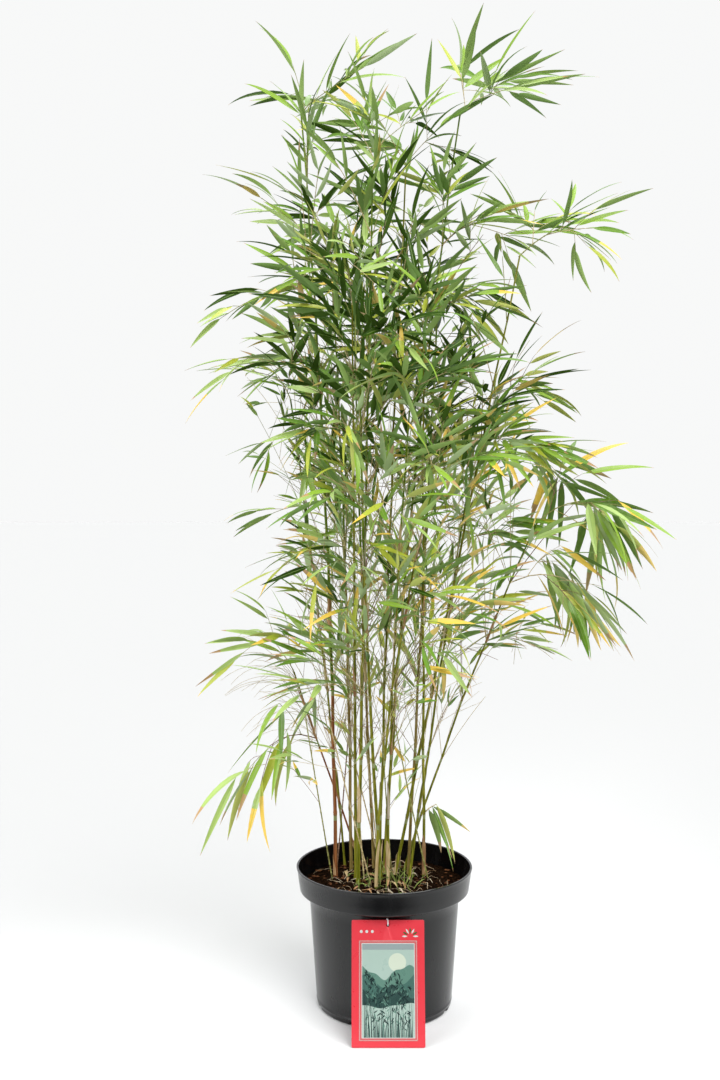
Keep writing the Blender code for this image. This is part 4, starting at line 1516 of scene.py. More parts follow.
def leaf_solid(leaf, margin=0.0, first=0.0):
    """(points, faces) of a rough eight-faced stand-in for a leaf, to test for room."""
    belly, _, normal = leaf_line(leaf, LEAF_BELLY)
    tip, tip_way, _ = leaf_line(leaf, 1)
    across = leaf.along.cross(leaf.normal).normalized()
    half_width, half_thick = leaf.width / 2 + margin, 0.0005 + margin
    points = [
        leaf.root.lerp(belly, first / LEAF_BELLY) - leaf.along * margin,
        tip + tip_way * margin,
        belly + across * half_width,
        belly + normal * half_thick,
        belly - across * half_width,
        belly - normal * half_thick,
    ]
    ring = [(2, 3), (3, 4), (4, 5), (5, 2)]
    return points, [(0, b, a) for a, b in ring] + [(1, a, b) for a, b in ring]


trial_leaf = Leaf(Vector((0, 0, 0)), Vector((1, 0, 0)), UP, 0.08, 0.009, 25, 0, None)
print("a level leaf's tip hangs", round(-leaf_line(trial_leaf, 1)[0].z * 1000, 1), "mm low")

# %% [markdown]
# The dense part of the crown has an outline: at each height, how far left and right of the pot's
# middle it goes. Boughs named in the plan may pass it, the many small ones between them may not.

# %% The crown's outline
CROWN = [  # height, left, right
    (0.50, -0.22, 0.12),
    (0.62, -0.20, 0.31),
    (0.80, -0.17, 0.36),
    (0.92, -0.16, 0.28),
    (1.02, -0.17, 0.17),
    (1.12, -0.16, 0.15),
    (1.22, -0.15, 0.20),
    (1.32, -0.16, 0.18),
    (1.46, -0.17, 0.15),
    (1.56, -0.14, 0.10),
]
CROWN_DEPTH = 0.24  # in front of the pot's middle, and behind it
SLACK = 0.006  # how far a leaf may pass the plain model's box


def crown_sides(height):
    """(left, right) of the dense crown at a height."""
    height = min(max(height, CROWN[0][0]), CROWN[-1][0])
    for (low, left, right), (high, next_left, next_right) in zip(CROWN, CROWN[1:]):
        if height <= high:
            share = (height - low) / (high - low)
            return left + (next_left - left) * share, right + (next_right - right) * share
    return CROWN[-1][1:]


def in_crown(point):
    """True inside the dense crown, whose level cuts are ovals."""
    left, right = crown_sides(point.z)
    middle = (left + right) / 2
    width = (point.x - middle) / ((right - left) / 2)
    depth = point.y / CROWN_DEPTH
    return width**2 + depth**2 <= 1.15 and left <= point.x <= right and point.z >= CROWN[0][0] - 0.06


def in_box(point):
    """True inside the plain model's box, or a little outside it, and not in the gap on the right."""
    gap = point.x > 0.14 and 0.38 < point.z < 0.57
    return not gap and all(a - SLACK < value < b + SLACK for value, a, b in zip(point, *plain_box))


print("crown at 1 m: left and right", [round(side, 3) for side in crown_sides(1.0)])

# %% [markdown]
# Bamboo isn't one green: it is fresh outside and high up, pale or yellowing low down, and darker
# inside the crown, where shaded leaves grow darker and the deep green is also painted shade. So each
# spray draws a green by its place, and its leaves stray from that a little.

# %% Tints
# A leaf's tint: the colour near its root, the colour near its tip, and where the second starts.
# DEEP, the darkest green, is partly painted shade where it falls inside the crown.
DEEP, MID, FRESH, PALE, LIME, YELLOW, DRY = range(7)


def pick_tint(rng, place):
    """A spray's green: dark inside the crown, partly painted shade; fresh outside and high up; pale low
    down.
    """
    core = max(0.0, 1 - abs(place.z - 1.11) / 0.30)
    inside = 1 - min(1.0, math.hypot(place.x, place.y) / (0.20 + 0.12 * core))
    high, low = max(0.0, (place.z - 0.9) / 0.7), max(0.0, (0.95 - place.z) / 0.6)
    light = 1.0 if place.x < -0.14 else 0.0
    # Deep green in the crown's core is partly darker shaded leaves and partly painted shade.
    deep = 0.02 + inside * (1 - low) * (0.15 + 2.3 * core)
    weights = (deep, 0.40 - 0.15 * light, 0.32 + 0.20 * high, 0.12 + 1.0 * low + 0.2 * light)
    return rng.choices((DEEP, MID, FRESH, PALE), weights)[0]


def leaf_tint(rng, spray, height):
    """One leaf's tint: mostly its spray's green, sometimes a shade off. Here and there one turns
    yellow or dries from its tip, low down more often."""
    draw, change = rng.random(), rng.uniform(0.35, 0.95)
    age = min(1.0, max(0.0, (1.15 - height) / 0.45))
    yellowing = 0.014 + 0.12 * age
    if draw < yellowing * 0.3:
        return (YELLOW, DRY, max(0.7, change))
    if draw < yellowing:
        return (LIME, YELLOW, change)
    if draw < yellowing + 0.03 + 0.06 * age:
        return (spray, YELLOW, change)
    if draw < yellowing + 0.13 + 0.05 * age:
        return (LIME, DRY, 1.0)
    if draw < yellowing + 0.28:
        spray = min(PALE, spray + 1)
    elif draw < yellowing + 0.38:
        spray = max(min(spray, MID), spray - 1)
    tip = rng.uniform(0.75, 0.96) if rng.random() < 0.05 + 0.50 * age else 1.0
    return (spray, DRY, tip)


trial_rng = random.Random("trial")
trial_tints = [pick_tint(trial_rng, Vector((0.2, 0.0, 1.5))) for _ in range(100)]
print("of 100 sprays high up outside,", trial_tints.count(FRESH), "are fresh")

# %% [markdown]
# Side twigs spring from a stem in a spiral. One that finds no room in eight tries is left out, as
# a shaded twig of a real plant withers.

# %% Twigs
TWIG_ANGLE = 48.0
TWIG_LENGTH = 0.095
TWIG_RADIUS = 0.0006
TWIG_STEPS = 3
TWIG_DROOP = 0.3
STEM, SIDE, FINE, STRAND = range(4)  # the kinds of twig

Twig = namedtuple("Twig", "line thick kind")


def fan(direction, angle, roll):
    """A direction turned sideways from a twig in the twig's own level plane, then rolled."""
    level = UP - direction * UP.dot(direction)
    level = level.normalized() if level.length > 0.1 else direction.orthogonal()
    turned_side = Matrix.Rotation(math.radians(angle), 3, level) @ direction
    return Matrix.Rotation(math.radians(roll), 3, direction) @ turned_side


def grow_twig(line, place, roll, length, weep, rng, taken):
    """One side twig, or None where every try would touch a neighbour."""
    start, direction = along_line(line, place)
    for _ in range(TRIES):
        way = fan(direction, TWIG_ANGLE * rng.uniform(0.7, 1.3), roll + rng.uniform(-30, 30))
        points = drooping_line(start, way, length, weep * TWIG_DROOP, TWIG_STEPS)
        if not touches(taken, *tube(points, [TWIG_RADIUS + CLEARANCE] * len(points), TWIG_SIDES)):
            return points
    return None


first_stem, room = stems["foliage_01a"][2], space.tree(leave_out="foliage_01a")
trial_twig = grow_twig(first_stem, 0.5, 60, TWIG_LENGTH, 1.0, trial_rng, room)
print("a trial twig on the first stem:", "has room" if trial_twig else "has no room")

# %% [markdown]
# Leaves stand near a twig's end, to its left and right by turns, and the last one points ahead.
# They turn away from the crown's middle, towards the light, and sag on weeping boughs.

# %% One leaf
LEAF_LENGTH = 0.083
LEAF_WIDTH = 0.0088
LEAF_SAG = 0.32
OUTWARD = 0.34  # how strongly leaves turn away from the crown's middle
CROWN_MIDDLE = 0.04


def outward(place):
    """The level direction away from the crown's middle line."""
    away = Vector((place.x - CROWN_MIDDLE, place.y, 0))
    return away.normalized() * min(1.0, away.length / 0.15)


def grow_leaf(twig, place, angle, size, weep, tint, rng, taken, sisters, fits):
    """One leaf on a twig, or None where every try would touch a neighbour or leave the crown."""
    start, direction = along_line(twig, place)
    for _ in range(TRIES):
        along = fan(direction, angle * rng.uniform(0.6, 1.35), rng.uniform(-35, 35))
        sag = UP * LEAF_SAG * weep**3 * rng.uniform(0.2, 1.5)
        along = (along + outward(start) * OUTWARD - sag).normalized()
        level = (UP - along * UP.dot(along)).normalized()
        normal = Matrix.Rotation(math.radians(rng.uniform(-70, 70)), 3, along) @ level
        length = LEAF_LENGTH * size * rng.uniform(0.72, 1.22)
        width = LEAF_WIDTH * (size if weep >= 1.2 else size**0.5) * rng.uniform(0.75, 1.2)
        root = start - along * (TWIG_RADIUS * 0.35)
        curl, twist = 3 + 34 * rng.random() ** 1.8, rng.uniform(-30, 30)
        leaf = Leaf(root, along, normal, length, width, curl, twist, tint)
        swollen = leaf_solid(leaf, CLEARANCE, 0.05)
        if fits(leaf_line(leaf, 1)[0]) and not touches(taken, *swollen):
            if not any(touches(tree, *leaf_solid(leaf, 0.0, 0.2)) for tree in sisters):
                return leaf
    return None


trial_leaf = grow_leaf(first_stem, 1.0, 0, 1.0, 1.0, None, trial_rng, room, [], in_box)
print("a trial leaf on the stem's end:", "has room" if trial_leaf else "has no room")

# %% The leaves of a spray
LEAF_ANGLE = 33.0
END_LEAF = 0.12  # how much of that angle the last leaf turns
LEAF_SPACING = 0.017  # along a twig, back from its tip


def leaf_count(rng, place):
    """How many leaves a twig carries: fewer low down, and where it stands out of the crown."""
    left, right = crown_sides(place.z)
    if not left < place.x < right:
        return rng.choice((2, 2, 3) if place.x < left else (2, 3, 4))
    return rng.choice((2, 2, 3, 3) if place.z < 0.86 else (3, 4, 5, 5))


def leaf_up(twigs, weep, size, rng, taken, fits):
    """Leaves on every twig of a spray, alternating from side to side back from its tip."""
    leaves, sisters = [], []
    for twig in twigs:
        length = sum((b - a).length for a, b in zip(twig.line, twig.line[1:]))
        end = twig.line[-1]
        spray = pick_tint(rng, end)
        for i in range(leaf_count(rng, end)):
            place = 1 - i * LEAF_SPACING * rng.uniform(0.85, 1.15) / length
            angle = LEAF_ANGLE * (END_LEAF if i == 0 else (1 if i % 2 else -1))
            tint = leaf_tint(rng, spray, end.z)
            place = max(0.05, place)
            leaf = grow_leaf(twig.line, place, angle, size, weep, tint, rng, taken, sisters, fits)
            if leaf:
                sisters.append(BVHTree.FromPolygons(*leaf_solid(leaf, 0.0, 0.2)))
                leaves.append(leaf)
    return leaves


trial_spray = leaf_up([Twig(first_stem, TWIG_RADIUS, SIDE)], 1.0, 1.0, trial_rng, room, in_box)
print("a trial spray there:", len(trial_spray), "leaves")

# %% [markdown]
# A mass of the crown is a stem, side twigs, second twigs on those, and leaves on all of them. Low
# boughs that hang out right carry the most second twigs, and weeping ones the longest leaves.

# %% A whole mass
SEED = "bamboo"
YOUNG = 0.36  # boughs below this are young shoots, without side twigs
TWIG_SPACING = 0.040
SPIRAL = 137.5  # the golden angle, in degrees
FIRST_TURN = 60
STEM_THICK = 0.0010  # the stem itself, which a plain one holds in its middle
SUB_TWIG_LENGTH = 0.050
SHOOT_LEAVES = 1.15  # sizes of the leaves: on young shoots,
WEEPING_LEAVES, STIFF_LEAVES = 1.4, 1.3  # on boughs that weep much, and that hardly weep
HEAVY = 1.3  # how much more than planned young shoots and the outermost low boughs weep


def second_twig_count(place):
    """How many second twigs a side twig carries: most on the low boughs that hang out right."""
    if place.x > 0.13:
        return 5 if place.z < 1.0 else 3
    return 1 if place.x < -0.12 else 2


def grow_mass(name, cane, bough, line, taken, fits):
    """(twigs, leaves) of one mass: its stem, its twigs, second twigs on those, and the leaves.
    The stem starts inside its cane, so that the two look grown together."""
    rng = random.Random(f"{SEED} {name}")
    joint = min(joint_heights(cane), key=lambda height: abs(height - line[0].z))
    twigs = [Twig([kinked_centre(cane, joint - 0.001), *line], STEM_THICK, STEM)]
    count = max(3, round((line[-1] - line[0]).length / TWIG_SPACING))
    if bough.height is not TIP and bough.height < YOUNG:
        ends = [Twig(line[-2:], TWIG_RADIUS, SIDE), Twig(line[1:3], TWIG_RADIUS, SIDE)]
        return twigs, leaf_up(ends, bough.weep * HEAVY, SHOOT_LEAVES, rng, taken, fits)
    for i in range(count):
        place = 0.3 + 0.6 * i / (count - 1)
        length = TWIG_LENGTH * rng.uniform(0.8, 1.15)
        grown = grow_twig(line, place, SPIRAL * i + FIRST_TURN, length, bough.weep, rng, taken)
        if grown:
            twigs.append(Twig(grown, TWIG_RADIUS, SIDE))
    for parent in twigs[1:]:
        for i in range(second_twig_count(parent.line[0])):
            length = SUB_TWIG_LENGTH * rng.uniform(0.7, 1.2)
            place, roll = rng.uniform(0.25, 0.7), SPIRAL * i + rng.uniform(0, 360)
            grown = grow_twig(parent.line, place, roll, length, bough.weep, rng, taken)
            if grown:
                twigs.append(Twig(grown, TWIG_RADIUS * 0.75, FINE))
    size = WEEPING_LEAVES if bough.weep >= 1.2 else STIFF_LEAVES if bough.weep <= 0.5 else 1.0
    heavy = HEAVY if line[-1].x > 0.20 and line[-1].z < 0.90 else 1.0
    return twigs, leaf_up(twigs, bough.weep * heavy, size, rng, taken, fits)


print("second twigs on a low twig on the right:", second_twig_count(Vector((0.2, 0.0, 0.8))))

# %% Grow the planned boughs
grown_twigs = {number: [] for number in range(1, len(CANES) + 1)}
grown_leaves = {number: [] for number in range(1, len(CANES) + 1)}


def keep(number, name, twigs, leaves):
    """Books a mass's room and adds it to its cane's."""
    for twig in twigs:
        space.take(name, *tube(twig.line, [twig.thick] * len(twig.line), TWIG_SIDES))
    for leaf in leaves:
        space.take(name, *leaf_solid(leaf))
    grown_twigs[number] += twigs
    grown_leaves[number] += leaves


def tell_growth(what):
    leaves, twigs = (sum(map(len, grown.values())) for grown in (grown_leaves, grown_twigs))
    print(f"{what}: {leaves} leaves and {twigs} twigs in all")


for name, (number, bough, line) in stems.items():
    taken = space.tree(leave_out=name)
    keep(number, name, *grow_mass(name, CANES[number - 1], bough, line, taken, in_box))
tell_growth("planned masses")

# %% [markdown]
# Between the planned boughs every higher joint carries a sheaf of thin side branches, or the
# crown would be thin in the middle. A real bamboo does just that: three or four branches, in ours
# up to six, rise steeply from one joint, and their leaves fan out near their ends. They turn by
# the golden angle from joint to joint, and keep inside the dense crown's outline.

# %% Sheaves between
SHEAF_FROM = 0.50  # the lowest joint that has one
SHEAF_LENGTH = (0.080, 0.165)
SHEAF_RISE = (38, 74)
SHEAF_SPREAD = 62.0  # degrees between two branches of a sheaf
SHEAF_THICK = 0.0007


def sheaf_size(height):
    """How many branches a joint carries: most in the middle of the crown."""
    if height < SHEAF_FROM:
        return 0
    return 6 if 0.94 < height < 1.22 else 4 if 0.86 < height < 1.34 else 3


def grow_sheaf(cane, joint, heading, count, rng, taken):
    """The side branches of one joint, and a second twig on some of them."""
    twigs = []
    for i in range(count):
        turn = heading + (i - (count - 1) / 2) * SHEAF_SPREAD + rng.uniform(-25, 25)
        length, weep = rng.uniform(*SHEAF_LENGTH), rng.uniform(0.15, 0.65)
        start = kinked_centre(cane, joint + 0.002) + heading_vector(turn, 0) * cane_radius(cane, joint)
        way = (heading_vector(turn, rng.uniform(*SHEAF_RISE)) + outward(start) * OUTWARD).normalized()
        line = drooping_line(start, way, length, weep, 4)
        swollen = tube(line[1:], [SHEAF_THICK + CLEARANCE] * 4, TWIG_SIDES)
        if in_crown(line[-1]) and not touches(taken, *swollen):
            twigs.append(Twig(line, SHEAF_THICK, SIDE))
    for parent in list(twigs):
        if rng.random() < 0.8:
            length, place = SUB_TWIG_LENGTH * rng.uniform(0.6, 1.2), rng.uniform(0.35, 0.75)
            second = grow_twig(parent.line, place, rng.uniform(0, 360), length, 0.5, rng, taken)
            if second:
                twigs.append(Twig(second, SHEAF_THICK * 0.75, FINE))
    return twigs


for number, cane in enumerate(CANES, 1):
    rng = random.Random(f"sheaves {number}")
    for i, joint in enumerate(joint_heights(cane)[:-1]):
        taken = space.tree()
        twigs = grow_sheaf(cane, joint, SPIRAL * i + 77 * number, sheaf_size(joint), rng, taken)
        name = f"sheaf_{number:02d}_{i}"
        keep(number, name, twigs, leaf_up(twigs, 0.6, 1.0, rng, taken, in_crown))
tell_growth("with the sheaves")

# %% [markdown]
# Lower down the canes carry fine bare whips: last year's twigs, tan, olive or plum, with a few
# tiny leaves. They rise steeply and are what makes the lower half look hazy.

# %% Whips
WHIPS_FROM, WHIPS_TO = 0.36, 0.95
WHIP_LENGTH = (0.07, 0.21)
WHIP_RISE = (58, 82)
WHIPS_PER_JOINT = 5
WHIP_THICK = 0.00045
WHIP_LEAF_SIZE = 0.48


def grow_whips(number, cane):
    """(twigs, leaves) of the fine whips on one cane's joints."""
    rng = random.Random(f"whips {number}")
    taken = space.tree()
    twigs, leaves = [], []
    for joint in joint_heights(cane)[:-1]:
        for _ in range(WHIPS_PER_JOINT if WHIPS_FROM < joint < WHIPS_TO else 0):
            middle, heading = kinked_centre(cane, joint), rng.uniform(0, 360)
            way, length = heading_vector(heading, rng.uniform(*WHIP_RISE)), rng.uniform(*WHIP_LENGTH)
            start = middle + heading_vector(heading, 0) * (cane_radius(cane, joint) * 0.9)
            line = drooping_line(start, way, length, rng.uniform(0.1, 0.9), 4)
            if touches(taken, *tube(line[1:], [WHIP_THICK + CLEARANCE] * 4, TWIG_SIDES)):
                continue
            own = [Twig(line, WHIP_THICK, FINE)]
            for _ in range(rng.randint(0, 3)):
                place, roll = rng.uniform(0.35, 0.85), rng.uniform(0, 360)
                branch = grow_twig(line, place, roll, length * 0.4, 0.3, rng, taken)
                if branch:
                    own.append(Twig(branch, WHIP_THICK * 0.8, FINE))
            twigs += own
            if rng.random() < 0.3:
                ends = [Twig(twig.line[-2:], twig.thick, FINE) for twig in own]
                leaves += leaf_up(ends, 0.6, WHIP_LEAF_SIZE, rng, taken, in_box)
    return twigs, leaves


for number, cane in enumerate(CANES, 1):
    keep(number, f"whips_{number:02d}", *grow_whips(number, cane))
tell_growth("with the whips")

# %% [markdown]
# Young canes no thicker than a straw come up beside every other old one, with small leaves near
# their tops. They start just under the soil.

# %% Young canes
SUCKER_TRIES = 4
SUCKER_THICK = 0.0012
SUCKER_AWAY = 0.014  # from the old cane's foot
SUCKER_TWIGS = 5


def grow_sucker(cane, rng, taken):
    """(twigs, leaves) of a thin young cane from the soil, with small twigs near its top."""
    for _ in range(SUCKER_TRIES):
        turn, lean = rng.uniform(0, math.tau), heading_vector(rng.uniform(0, 360), rng.uniform(72, 86))
        x, y = cane.foot[0] + SUCKER_AWAY * math.cos(turn), cane.foot[1] + SUCKER_AWAY * math.sin(turn)
        start = Vector((x, y, soil_height(x, y) - 0.003))
        line = drooping_line(start, lean, rng.uniform(0.20, 0.46), rng.uniform(-0.3, 0.3), 6)
        if touches(taken, *tube(line[1:], [SUCKER_THICK + CLEARANCE] * 6, TWIG_SIDES)):
            continue
        twigs = [Twig(line, SUCKER_THICK, STEM)]
        for _ in range(SUCKER_TWIGS):
            length = rng.uniform(0.04, 0.11)
            place, roll = rng.uniform(0.45, 0.98), rng.uniform(0, 360)
            branch = grow_twig(line, place, roll, length, 0.5, rng, taken)
            if branch:
                twigs.append(Twig(branch, WHIP_THICK * 0.9, FINE))
        return twigs, leaf_up(twigs[1::2], 0.6, 0.6, rng, taken, in_box)
    return [], []


rng = random.Random("young canes")
for number, cane in list(enumerate(CANES, 1))[::2]:
    keep(number, f"suckers_{number:02d}", *grow_sucker(cane, rng, space.tree()))
tell_growth("with the young canes")

# %% [markdown]
# Dry strands, bare and bleached, arch out on the left from the low cane that leans there. Steeply
# drooping lines without leaves will do.

# %% Dry strands
STRANDS = 26
STRAND_CANE = 6  # the low one that leans out to the left


def grow_strands(cane, rng, taken):
    """Dry bare strands that arch out and down."""
    twigs = []
    for _ in range(STRANDS):
        start = cane_centre(cane, rng.uniform(0.40, 0.53))
        way = heading_vector(rng.uniform(150, 225), rng.uniform(25, 65))
        line = drooping_line(start, way, rng.uniform(0.08, 0.17), rng.uniform(1.2, 2.6), 7)
        if in_box(line[-1]) and not touches(taken, *tube(line[2:], [CLEARANCE] * 6, TWIG_SIDES)):
            twigs.append(Twig(line, WHIP_THICK * 0.8, STRAND))
    return twigs


keep(STRAND_CANE, "strands", grow_strands(CANES[STRAND_CANE - 1], rng, space.tree()), [])
tell_growth("with the dry strands")

# %% [markdown]
# ## Twigs
#
# A bamboo twig is jointed like its cane: a small knot wherever a leaf or twig leaves it. So each
# line is smoothed, and its tube gets three rings close together at each knot.

# %% Twig finishes
def twig_finish(name, colours):
    """Thin dull bark, in three colours."""
    material = new_finish(name, colours[1], 0.5, 0.4)
    mottle(material, grain(material, 240.0, detail=2), colours)
    vary_roughness(material, grain(material, 300.0), 0.42, 0.62)
    add_relief(material, grain(material, 1200.0), 0.0001)
    return material


twig_finishes = [
    twig_finish("twig olive", [(0.170, 0.180, 0.035), (0.270, 0.270, 0.075), (0.380, 0.360, 0.140)]),
    twig_finish("twig tan", [(0.350, 0.260, 0.115), (0.480, 0.380, 0.185), (0.600, 0.500, 0.290)]),
    twig_finish("twig plum", [(0.110, 0.052, 0.030), (0.190, 0.100, 0.060), (0.280, 0.165, 0.100)]),
    twig_finish("twig straw", [(0.360, 0.270, 0.140), (0.480, 0.390, 0.230), (0.580, 0.500, 0.340)]),
]
OLIVE_TWIG, TAN_TWIG, PLUM_TWIG, STRAW_TWIG = range(len(twig_finishes))
tell(*twig_finishes)

# %% Twig meshes
KNOT = 1.5
KNOT_SPACING = 0.016
KNOT_HALF = 0.0011
TWIG_TUBE_SIDES = 6


def twig_tube(twig):
    """(points, faces) of one twig with its knots."""
    line = smooth_line(twig.line, 3)
    length = sum((b - a).length for a, b in zip(line, line[1:]))
    count = max(1, round(length / KNOT_SPACING))
    rings = [(0.0, 1.15)]
    for i in range(1, count):
        share = i / count
        rings += [(share - KNOT_HALF / length, 1.0), (share, KNOT), (share + KNOT_HALF / length, 1.0)]
    rings.append((1.0, 0.7))
    points = [along_line(line, share)[0] for share, _ in rings]
    points[-1] = line[-1]
    radii = [twig.thick * (1 - (1 - THIN_TO) * share) * swell for share, swell in rings]
    return tube(points, radii, TWIG_TUBE_SIDES)


def make_twigs(number):
    rng = random.Random(f"twig tints {number}")
    pile = Pile()
    for twig in grown_twigs[number]:
        draw = rng.random()
        if twig.kind == STRAND:
            finish = STRAW_TWIG
        elif twig.kind == FINE:
            finish = PLUM_TWIG if draw < 0.2 else TAN_TWIG if draw < 0.75 else OLIVE_TWIG
        else:
            finish = OLIVE_TWIG if draw < 0.55 else TAN_TWIG if draw < 0.9 else PLUM_TWIG
        pile.add(*twig_tube(twig), finish)
    return pile.make(f"twigs_{number:02d}", twig_finishes, 70)


masses = {number: [] for number in grown_twigs}
for name, (number, _, _) in stems.items():
    masses[number].append(name)
for number in grown_twigs:
    stands_for(make_twigs(number), "cane", *masses[number])

# %% [markdown]
# ## Leaves
#
# A bamboo leaf is a thin blade on a tiny stalk: widest a third of the way up, drawn out to a
# hair-fine tip, slightly folded along its midrib, and curling down. Its top is satin green and
# its underside paler and duller. A flat card with a picture of a leaf would be lighter, but a
# real blade has thickness, a raised pale midrib and an underside of its own.
#
# Each cross-section has five corners: two edges, two sides of the midrib, and one keel below.
# The section's half width follows the leaf's outline, and its edges lift by the fold.

# %% Leaf outline
STALK = 0.04  # share of the leaf that is its thin stalk


def leaf_outline(share):
    """The leaf's half width at a share of its length, 1 at its widest."""
    if share <= STALK:
        return 0.09
    body = (share - STALK) / (1 - STALK)
    base = min(1.0, body / 0.20) ** 0.60
    tip = 1 - max(0.0, (body - 0.30) / 0.70) ** 1.75
    return max(0.015, base * tip)


print("half width at half the length:", round(leaf_outline(0.5), 2))

# %% Leaf blade
LEAF_STATIONS = (0, 0.02, 0.04, 0.06, 0.10, 0.17, 0.27, 0.39, 0.52, 0.65, 0.77, 0.88, 0.95, 1)
LEAF_THICK = 0.00022
RIB_WIDTH = 0.065  # share of the leaf's width
KEEL = 0.00025
FOLD = 0.32  # how far the edges lift, as a share of the half width


def leaf_blade(leaf, fold):
    """(points, faces, finishes, places) of one closed blade."""
    across = leaf.along.cross(leaf.normal).normalized()
    points, faces, kinds, places = [], [], [], []
    place, last = leaf.root.copy(), 0.0
    for share in LEAF_STATIONS:
        place = place + leaf_way(leaf, across, (share + last) / 2) * leaf.length * (share - last)
        direction = leaf_way(leaf, across, share)
        side = Matrix.Rotation(math.radians(leaf.twist * share), 3, direction) @ across
        normal = side.cross(direction).normalized()
        half = leaf.width / 2 * leaf_outline(share)
        rib = min(half * 0.6, leaf.width * RIB_WIDTH / 2 * (1.3 - share))
        lift = normal * (half * fold)
        top, low = normal * (LEAF_THICK / 2), normal * (LEAF_THICK / 2 + KEEL * (1 - share))
        points += [place - side * half + lift, place - side * rib + top, place + side * rib + top,
                   place + side * half + lift, place - low]
        places += [(u, share) for u in (0.0, 0.48, 0.52, 1.0, 0.5)]
        last = share
    for i, share in enumerate(LEAF_STATIONS[1:]):
        a, b = i * 5, i * 5 + 5
        faces += [(a + j, a + (j + 1) % 5, b + (j + 1) % 5, b + j) for j in range(5)]
        near, far, change = leaf.tint
        top = 2 * (near if share < change else far)  # the finish above; the one below comes next
        rib_kind = RIB if near <= PALE and share < 0.8 else top
        kinds += [top, rib_kind, top, top + 1, top + 1]
    end = 5 * (len(LEAF_STATIONS) - 1)
    faces += [(4, 3, 2, 1, 0), tuple(range(end, end + 5))]
    kinds += [kinds[0], kinds[-1]]
    return points, faces, kinds, places


print("faces of one blade:", 5 * (len(LEAF_STATIONS) - 1) + 2)

# %% [markdown]
# The leaves' colours have a place, so each tint is a plain colour dealt out by spray, and the
# nodes only add what any leaf has: fine veins along the blade and a gloss that wanders a little.

# %% Leaf finishes
LEAF_TINTS = {
    # The deep tint is partly painted shade for leaves inside the crown.
    "leaf deep": ((0.027, 0.071, 0.001), (0.060, 0.118, 0.017)),
    "leaf mid": ((0.127, 0.262, 0.020), (0.195, 0.318, 0.092)),
    "leaf fresh": ((0.254, 0.424, 0.034), (0.312, 0.455, 0.140)),
    "leaf pale": ((0.360, 0.500, 0.135), (0.425, 0.550, 0.280)),
    "leaf lime": ((0.440, 0.500, 0.050), (0.500, 0.550, 0.150)),
    "leaf yellow": ((0.800, 0.550, 0.080), (0.780, 0.590, 0.190)),
    "leaf dry": ((0.450, 0.280, 0.120), (0.500, 0.360, 0.200)),
}
RIB = 2 * len(LEAF_TINTS)
VEINS = 4.5


def leaf_finish(name, colour, roughness, specular):
    """One side of a leaf: a plain colour with fine veins."""
    material = new_finish(name, colour, roughness, specular)
    flat_place = add_node(material, "ShaderNodeTexCoord").outputs["UV"]
    lengthwise, sizes = {"bands_direction": "X"}, {"Scale": VEINS, "Distortion": 0.4}
    veins = add_node(material, "ShaderNodeTexWave", lengthwise, sizes, {"Vector": flat_place})
    add_relief(material, veins.outputs["Fac"], 0.00003, 0.5)
    vary_roughness(material, grain(material, 90.0, detail=2), roughness - 0.06, roughness + 0.10)
    return material


leaf_finishes = []
for name, (top, under) in LEAF_TINTS.items():
    # The deep green's top gets little gloss, so its painted shade stays dark.
    leaf_finishes.append(leaf_finish(name, top, 0.32, 0.14 if name == "leaf deep" else 0.42))
    leaf_finishes.append(leaf_finish(name + " underside", under, 0.70, 0.03))
leaf_finishes.append(leaf_finish("leaf rib", (0.260, 0.380, 0.110), 0.5, 0.35))
print("leaf finishes:", len(leaf_finishes))

# %% Leaf meshes
def make_leaves(number):
    rng = random.Random(f"folds {number}")
    pile = Pile()
    for leaf in grown_leaves[number]:
        pile.add(*leaf_blade(leaf, FOLD * rng.uniform(0.3, 1.5)))
    return pile.make(f"leaves_{number:02d}", leaf_finishes, 60)


for number in grown_leaves:
    stands_for(make_leaves(number), "leaf", *masses[number])

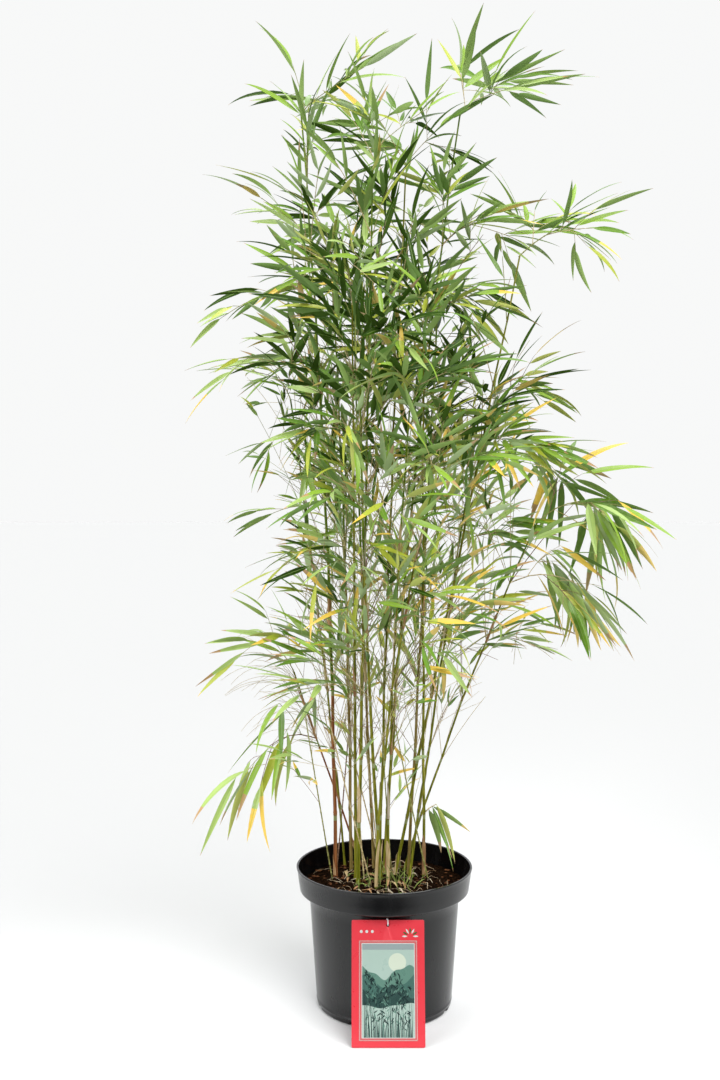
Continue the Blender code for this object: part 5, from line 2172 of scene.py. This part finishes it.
# %% [markdown]
# ## Litter
#
# Between the feet of the canes lie last year's leaves and torn sheaths, and thin green blades come
# up: grass, and the bamboo's own young shoots. They are flakes as well, narrow and long.

# %% Litter
LITTER = 46
LITTER_KINDS = (SHEATH_STRAW, SHEATH_TAN, SHEATH_TAN, SHEATH_GREY, SHEATH_GREY, YOUNG_BLADE)


def strip(line, across, width):
    """A flake's grid along a line, pointed at both ends."""
    last = len(line) - 1
    grid = []
    for i, point in enumerate(line):
        half = across * width / 2 * max(0.06, math.sin(math.pi * (i + 0.4) / (last + 0.8)))
        lift = UP * width * 0.12
        grid.append([point - half + lift, point, point + half + lift])
    return grid


litter_rng = random.Random("litter")
litter = Pile()
for _ in range(LITTER):
    spot = on_soil(litter_rng, 0.85).lerp(Vector((-0.02, 0.01, SOIL_TOP)), litter_rng.uniform(0, 0.55))
    heading = litter_rng.uniform(0, math.tau)
    way = Vector((math.cos(heading), math.sin(heading), 0))
    length, lift = litter_rng.uniform(0.010, 0.034), litter_rng.uniform(0.001, 0.006)
    line = fibre(spot, heading, length, lift, litter_rng)
    across = (UP.cross(way) + UP * litter_rng.uniform(-0.5, 0.5)).normalized()
    grid = strip([point + UP * 0.001 for point in line], across, litter_rng.uniform(0.002, 0.006))
    litter.add(*flake(grid, SHEATH_THICK), litter_rng.choice(LITTER_KINDS))
print("litter:", LITTER, "dry flakes")

# %% Young blades
BLADES = 34

for _ in range(BLADES):
    x, y = litter_rng.gauss(0.004, 0.022), litter_rng.gauss(-0.018, 0.022)
    way = Vector((litter_rng.gauss(0, 0.45), litter_rng.gauss(0, 0.45), 1)).normalized()
    length = 0.014 + 0.042 * litter_rng.random() ** 1.6
    start = Vector((x, y, soil_height(x, y) - 0.002))
    line = drooping_line(start, way, length, litter_rng.uniform(0, 1.2), 6)
    across = way.cross(Vector((litter_rng.random(), litter_rng.random(), 0.2))).normalized()
    grid = strip(line, across, litter_rng.uniform(0.0012, 0.0024))
    litter.add(*flake(grid, SHEATH_THICK), YOUNG_BLADE)
stands_for(litter.make("soil_litter", sheath_finishes, SHEATH_SHARP), "soil_peat", "soil")
